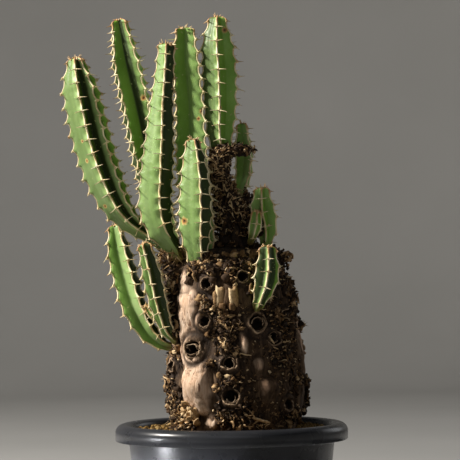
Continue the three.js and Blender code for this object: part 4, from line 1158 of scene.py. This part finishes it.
def turns_on(random, outs, tilt):
    """Rotation matrices that lay a shape on a surface, long way up, with a random tilt."""
    heading = unit(np.array([0, 0, 1.0]) + random.normal(0, 0.35, outs.shape))
    third = unit(outs + random.normal(0, tilt, outs.shape))
    side = unit(np.cross(third, heading))
    return np.stack([np.cross(side, third), side, third], 2)


def add_many(build, shapes, faces, places, sizes, matrices, tones):
    """Adds one small shape at each place, turned and sized by itself."""
    points = np.einsum("nij,npj->npi", matrices, shapes) * sizes[:, None, None] + places[:, None]
    count, each = points.shape[:2]
    steps = (np.arange(count) * each)[:, None, None]
    build.add(points, [(faces[None] + steps).reshape(-1, faces.shape[1])], tone=np.repeat(tones, each))


def chip_faces(long, wide):
    """Faces of a thin slab over a grid of points, its upper side's points first."""
    count = long * wide
    faces = []
    for i in range(long - 1):
        for j in range(wide - 1):
            a = i * wide + j
            faces += [[a, a + wide, a + wide + 1, a + 1],
                      [a + count, a + 1 + count, a + wide + 1 + count, a + wide + count]]
    rim = ([j for j in range(wide)] + [i * wide + wide - 1 for i in range(1, long)]
           + [(long - 1) * wide + j for j in range(wide - 2, -1, -1)] + [i * wide for i in range(long - 2, 0, -1)])
    faces += [[a, b, b + count, a + count] for a, b in zip(rim, rim[1:] + rim[:1])]
    return np.array(faces)


def add_chips(build, random, places, sizes, tones, matrices=None):
    """Bent and torn scales with some thickness."""
    long, wide = 4, 3
    count = len(places)
    u = np.repeat(np.linspace(-1, 1, long), wide)[None]
    v = np.tile(np.linspace(-1, 1, wide), long)[None]
    curl, twist, cup = random.uniform(-0.8, 0.8, (3, count, 1))
    narrow = 1 - random.uniform(0, 0.6, (count, 1)) * u ** 2
    x = u + 0.15 * random.normal(0, 1, (count, long * wide))
    y = v * narrow * random.uniform(0.35, 0.85, (count, 1)) + 0.12 * random.normal(0, 1, (count, long * wide))
    z = curl * u ** 2 * 0.6 + twist * u * v * 0.5 + 0.35 * cup * v ** 2
    thick = random.uniform(0.06, 0.16, (count, 1))
    shapes = np.concatenate([np.stack([x, y, z + thick], 2), np.stack([x, y, z - thick], 2)], 1)
    matrices = turns(random, count) if matrices is None else matrices
    add_many(build, shapes, chip_faces(long, wide), places, sizes, matrices, tones)


def add_crumbs(build, random, places, sizes, tones, fine=False):
    """Angular crumbs."""
    balls, faces = lump_shape(2 if fine else 1)
    count = len(places)
    shapes = balls[None] * random.uniform(0.6, 1.1, (count, 1, 3)) * (
        1 + random.uniform(-0.24, 0.24, (count, len(balls), 1)))
    add_many(build, shapes, faces, places, sizes, turns(random, count), tones)


def add_fibres(build, random, places, outs, sizes, tones):
    """Thin bent fibres."""
    for place, out, size, tone in zip(places, outs, sizes, tones):
        heading = unit(random.normal(0, 1, 3) + 0.7 * out)
        bend = unit(random.normal(0, 1, 3))
        add_strand(build, place, heading * size, bend * size * 0.55, 0.3 * (1.15 - np.linspace(0, 1, 5)), 4,
                   tone=tone)


def cover(build, random, places, outs, size, bright=1.0, lift=0.5):
    """Mixed chips, crumbs and fibres on a surface."""
    count = len(places)
    kind = random.random(count)
    lively = random.random(count) < 0.24 * bright
    tones = np.clip(np.where(lively, random.uniform(0.6, 1.0, count), random.beta(1.3, 3.6, count)), 0, 1)
    sizes = size * random.uniform(0.5, 1.4, count)
    spots_at = places + outs * (random.uniform(-0.4, lift, count) + 0.2 * sizes)[:, None]
    chips, crumbs, fibres = kind < 0.5, (kind >= 0.5) & (kind < 0.78), kind >= 0.78
    add_chips(build, random, spots_at[chips], 1.05 * sizes[chips], tones[chips])
    add_crumbs(build, random, spots_at[crumbs], 0.6 * sizes[crumbs], tones[crumbs])
    add_fibres(build, random, spots_at[fibres], outs[fibres], 2.0 * sizes[fibres], 0.2 + 0.8 * tones[fibres])


def on_base(random, count, least=0.4):
    """Random places on the crusted bark, clear of the hollows."""
    degrees, heights = random.uniform(0, 360, count), random.uniform(*LOOSE, count)
    _, _, crust, _ = bark_detail(degrees, heights, around(np.radians(degrees), GIRTH, heights))
    _, deep = base_craters(degrees, heights, np.full(count, 41.0))
    keep = (crust > least) & (deep < 0.7) & clear(degrees, heights)
    return degrees[keep], heights[keep]


def make_crust():
    """Crust on the base: a ground of crumbs and scales, thick clusters, and curled shells."""
    random = np.random.default_rng(SEEDS["crust"])
    build = Build("tone")
    places, outs = surface(*on_base(random, COUNTS["crumbs"]))
    cover(build, random, places, outs, 1.1, 1.0, 1.6)
    places, outs = surface(*on_base(random, COUNTS["scales"], 0.15))
    sizes = random.uniform(1.2, 3.4, len(places))
    add_chips(build, random, places + outs * 1.1, sizes, random.beta(1.3, 3.2, len(places)),
              turns_on(random, outs, 0.5))
    build.piece("crust_ground", FLAKES, "bark", "caudex")
    build = Build("tone")
    for direction, height, reach, full, bright in CRUST:
        count = int(CRUST_SHARE * full)
        turn = direction + np.degrees(random.normal(0, 0.42, count) * reach / GIRTH)
        rise = np.clip(height + random.normal(0, 0.42, count) * reach, LOOSE[0], LOOSE[1] + 0.5)
        keep = clear(turn, rise)
        turn, rise = turn[keep], rise[keep]
        lumpy = 1 + 2.0 * np.exp(-(((turn - direction) * 0.7 / reach) ** 2 + ((rise - height) / reach) ** 2) * 2)
        places, outs = surface(turn, rise)
        cover(build, random, places + outs * 0.5 * lumpy[:, None], outs, 1.25, bright, 2.0)
        cover(build, random, (places + outs * lumpy[:, None])[::3], outs[::3], 1.7, 1.25 * bright, 0.8)
    count = COUNTS["foot_chips"]
    turn, rise = random.uniform(-58, -36, count), random.uniform(130, 147, count)
    places, outs = surface(turn, rise)
    add_chips(build, random, places + outs * random.uniform(0.5, 3, (count, 1)),
              random.uniform(2.2, 3.6, count), random.uniform(0.72, 1, count))
    count = COUNTS["side_bits"]
    turn, rise = random.uniform(2, 66, count), random.uniform(130, 210, count)
    keep = clear(turn, rise)
    places, outs = surface(turn[keep], rise[keep])
    cover(build, random, places + outs * 0.3, outs, 0.85, 0.8, 1.0)
    build.piece("crust_clusters", FLAKES, "bark", "caudex")
    build = Build("tone")
    places, outs = surface(*on_base(random, COUNTS["shells"], 0.5))
    for place, out in zip(places, outs):
        leaning = unit(out + random.normal(0, 0.45, 3))
        add_shell(build, random, place + out * 0.4, leaning, random.uniform(1.2, 4.0),
                  random.uniform(0.8, 2.4), random.uniform(1.2, 4.0), random.uniform(0.25, 1.2),
                  random.uniform(0.2, 0.5))
    build.piece("crust_shells", DRY, "bark", "caudex")


def add_slab(build, random, direction, height, long, wide, tone):
    """Split piece of wood that stands on the base, with facets along it and torn ends."""
    rows, columns = 7, 6
    (place,), (out,) = surface(direction, height)
    aside = np.cross((0, 0, 1), out)
    u = np.repeat(np.linspace(-0.5, 0.5, rows), columns)
    v = np.tile(np.linspace(-0.5, 0.5, columns), rows)
    torn = 0.09 * np.tile(random.normal(0, 1, columns), rows) * (2 * u) ** 3
    facet = np.tile(random.uniform(-0.1, 0.12, columns), rows) + random.uniform(-1.6, 1.6) * v
    thick = 1.5 * (1 - 0.8 * (2 * v) ** 6) * (1 - 0.4 * (2 * u) ** 6)
    lean = random.normal(0, 0.06)
    flat = (place + np.outer(long * (u + torn), np.array([0, 0, 1]) + lean * aside)
            + np.outer(wide * v * (1 - 0.25 * np.abs(u)) + random.normal(0, 0.06, len(u)), aside))
    front = flat + np.outer(1.5 + thick + facet, out)
    build.add(np.concatenate([front, flat - 2 * out]), [chip_faces(rows, columns)[:, ::-1]],
              tone=np.clip(tone * (0.85 + 0.3 * np.concatenate([facet, facet])), 0, 1))


def make_wood():
    """Broken pale wood, the lumps along the top and the dry tangle on the left crown."""
    random = np.random.default_rng(SEEDS["wood"])
    build = Build("tone")
    for direction, height, long, wide, tone in SLABS:
        add_slab(build, random, direction, height, long, wide, tone)
    knot, knot_out = surface([-0.5, -14], [225.5, 224.5])
    add_crumbs(build, random, knot + 0.5 * knot_out, np.array([3.6, 3.2]), np.array([0.26, 0.24]), True)
    for _ in range(COUNTS["top_lumps"]):
        direction, height = random.uniform(-28, 62), random.uniform(235, 241)
        (place,), (out,) = surface(direction, min(height, LOOSE[1]))
        over = [[0, 0, height - LOOSE[1] + 1]]
        add_crumbs(build, random, place[None] + out * random.uniform(-1, 2.5) + over,
                   random.uniform(1.4, 3.2, 1), random.uniform(0.35, 0.95, 1), True)
    for _ in range(COUNTS["tangle"]):
        out = unit(random.normal(0, 1, 3))
        place = np.array([-36, -9, 241]) + out * (10, 8, 8) * random.uniform(0.5, 1.0)
        heading = unit(np.cross(out, random.normal(0, 1, 3)) + 0.35 * out)
        long = random.uniform(2.5, 8.5)
        add_strand(build, place, heading * long, unit(random.normal(0, 1, 3)) * long * 0.35,
                   random.uniform(0.25, 0.62) * (1.1 - np.linspace(0, 1, 6)), tone=random.beta(2.2, 1.3))
    build.piece("dry_wood", FLAKES, "bark", "caudex")


def on_trunk(height, angle, rise=0.0, beyond=0.0):
    """A point of the dried main stem's side and its outward direction."""
    centre, radius = rows_at(TRUNK_RINGS, np.array([height]))
    out = np.array([math.sin(angle), -math.cos(angle), rise])
    return np.array([centre[0], TRUNK_DEPTH, height]) + out * (radius[0] + beyond), out


def make_shag():
    """Crumbs and dead spikes over the crowns and the old dried stem."""
    random = np.random.default_rng(SEEDS["shag"])
    build = Build("tone")
    for centre, half in CROWNS:
        outs = unit(random.normal(0, 1, (COUNTS["crown"], 3)))
        outs = outs[outs[:, 2] > -0.55]
        places = np.array(centre) + outs * half * random.uniform(0.9, 1.12, (len(outs), 1))
        cover(build, random, places, outs, 1.3, random.uniform(0.8, 1.1), 1.2)
    count = COUNTS["trunk"]
    heights = random.uniform(238, 310, count)
    angle = random.uniform(0, 2 * np.pi, count)
    centre, radius = rows_at(TRUNK_RINGS, heights)
    outs, places = around(angle, 1, 0), around(angle, radius, heights, centre, TRUNK_DEPTH)
    cover(build, random, places, outs, 1.25, 0.8, 1.8)
    # Painted light: a second, brighter layer of crumbs, mostly on the sides that face the key light and the back
    # light
    bright = (outs[:, 0] > 0.3) | (outs[:, 0] < -0.5) | (random.random(count) < 0.12)
    cover(build, random, places[bright], outs[bright], 1.2, 1.6, 2.4)
    for _ in range(COUNTS["spikes"]):
        height, angle = random.uniform(262, 306), math.radians(random.uniform(-95, 60))
        root, out = on_trunk(height, angle, beyond=random.uniform(0, 2))
        heading = unit(np.cross(out, random.normal(0, 1, 3)) + 0.3 * out)
        long = random.uniform(2.5, 7)
        add_strand(build, root, long * heading, long * 0.4 * unit(random.normal(0, 1, 3)),
                   random.uniform(0.3, 0.55) * (1.1 - np.linspace(0, 1, 5)), tone=random.uniform(0.7, 1))
    for height in np.arange(243, 306, 3.4):
        root, out = on_trunk(height, math.radians(random.uniform(-100, -55)), random.uniform(0.1, 0.6))
        add_strand(build, root, unit(out) * random.uniform(2.5, 5), 0, [0.6, 0.5, 0.3, 0.1],
                   tone=random.uniform(0.75, 1))
    build.piece("crown_shag", FLAKES, "bark", "caudex")


def make_bits():
    """Bud on its stalk, a knob, sticks and chips."""
    random = np.random.default_rng(SEEDS["bits"])
    build = Build("tone")
    start, end = np.array(BUD["from"], float), np.array(BUD["to"], float)
    points, faces = tube(np.linspace(start, end, 4), BUD["stalk"], 8)
    build.add(points, faces, tone=0.3)
    for centre, radius, count in ((end, BUD["radius"] - 0.9, 90), (surface(-13, 206)[0][0], 2.2, 40)):
        outs = unit(random.normal(0, 1, (count, 3)))
        add_crumbs(build, random, centre + outs * radius, random.uniform(0.7, 1.4, count),
                   random.uniform(0.4, 0.95, count), True)
    for direction, height, slope, long, wide, tone in STICKS:
        (place,), (out,) = surface(direction, height)
        aside = np.cross(out, (0, 0, 1)) * -1
        heading = unit(aside * math.cos(slope) + np.array([0, 0, 1]) * math.sin(slope) + 0.15 * out)
        share = np.linspace(-0.5, 0.5, 6)[:, None]
        path = place + out * (1.2 + wide) + heading * long * share + random.normal(0, 0.12, (6, 3))
        points, faces = tube(path, wide * np.array([0.55, 0.95, 1, 1.05, 0.9, 0.45]), 7, 0.5)
        build.add(points, faces, tone=tone)
    build.piece("bits", FLAKES, "bark", "caudex")


# Stage, lights and camera

def make_camera():
    """Camera at the place, pitch and roll of the photograph's."""
    data = bpy.data.cameras.new("camera")
    data.sensor_width = CAMERA["sensor"]
    data.lens = CAMERA["sensor"] * CAMERA["focal"] / CAMERA["frame"]
    data.clip_start, data.clip_end = CAMERA["clip"]
    camera = new_object("camera", data)
    turn = Euler((math.radians(90 + CAMERA["pitch"]), 0, 0)).to_matrix()
    roll = Euler((0, 0, math.radians(CAMERA["roll"]))).to_matrix()
    camera.rotation_euler = (turn @ roll).to_euler()
    camera.location = [value * MM for value in CAMERA["place"]]
    bpy.context.scene.camera = camera


def area_light(name, place, aim, size, power, color, spread):
    """Light that shines from a place towards an aim, both in metres."""
    data = bpy.data.lights.new(name, "AREA")
    data.shape, data.energy, data.color = "ELLIPSE", power, color
    data.size, data.size_y = size
    data.spread = math.radians(spread)
    light = new_object(name, data)
    light.location = place
    direction = np.array(aim, float) - np.array(place, float)
    yaw = math.atan2(direction[1], direction[0]) - math.pi / 2
    pitch = math.atan2(direction[2], math.hypot(direction[0], direction[1]))
    light.rotation_euler = (math.pi / 2 + pitch, 0, yaw)
    light.visible_camera = False


def make_stage():
    """Round floor that rises into a plain wall, in metres, the lights and the world."""
    sides, bend = 128, 0.9
    angles = np.linspace(0, 2 * np.pi, sides, endpoint=False)
    profile = [(0.5, 0), (1.5, 0), (2.6, 0)]
    profile += [(2.6 + bend * math.sin(a), bend - bend * math.cos(a)) for a in np.linspace(0.1, math.pi / 2, 14)]
    profile += [(3.5, 2.2)]
    rows = [np.stack([radius * np.cos(angles), radius * np.sin(angles), 0 * angles + z], 1)
            for radius, z in profile]
    points = np.vstack([*rows, [[0, 0, 0]]])
    middle = len(points) - 1
    faces = grid_faces(len(profile), sides).tolist()
    faces += [[middle, i, (i + 1) % sides] for i in range(sides)]
    mesh = bpy.data.meshes.new("floor")
    mesh.from_pydata(points.tolist(), [], faces)
    mesh.shade_smooth()
    parts = new_material("floor_paint")
    tree = parts[1]
    tone = ramp(tree, noise_map(tree, 3, 3, 0.5), [(0.3, (0.38, 0.378, 0.37)), (0.7, (0.41, 0.407, 0.4))])
    mesh.materials.append(dressed(parts, tone, 0.8, None))
    new_object("floor", mesh)
    for light in LIGHTS:
        area_light(*light)
    world = bpy.data.worlds.new("world")
    world.use_nodes = True
    background = world.node_tree.nodes["Background"]
    background.inputs["Color"].default_value = WORLD["color"]
    background.inputs["Strength"].default_value = WORLD["strength"]
    bpy.context.scene.world = world
    bpy.context.scene.view_settings.view_transform = "Standard"


make_camera()
make_pot()
make_soil()
for stem_name, stem in STEMS.items():
    make_stem(stem_name, nodes=("stem_" + stem_name, "margin_" + stem_name), **stem)
for shoot_name, shoot in SHOOTS.items():
    make_stem(shoot_name, **shoot)
make_base()
make_trunk()
make_crowns()
make_stumps()
make_crust()
make_wood()
make_shag()
make_bits()
make_stage()
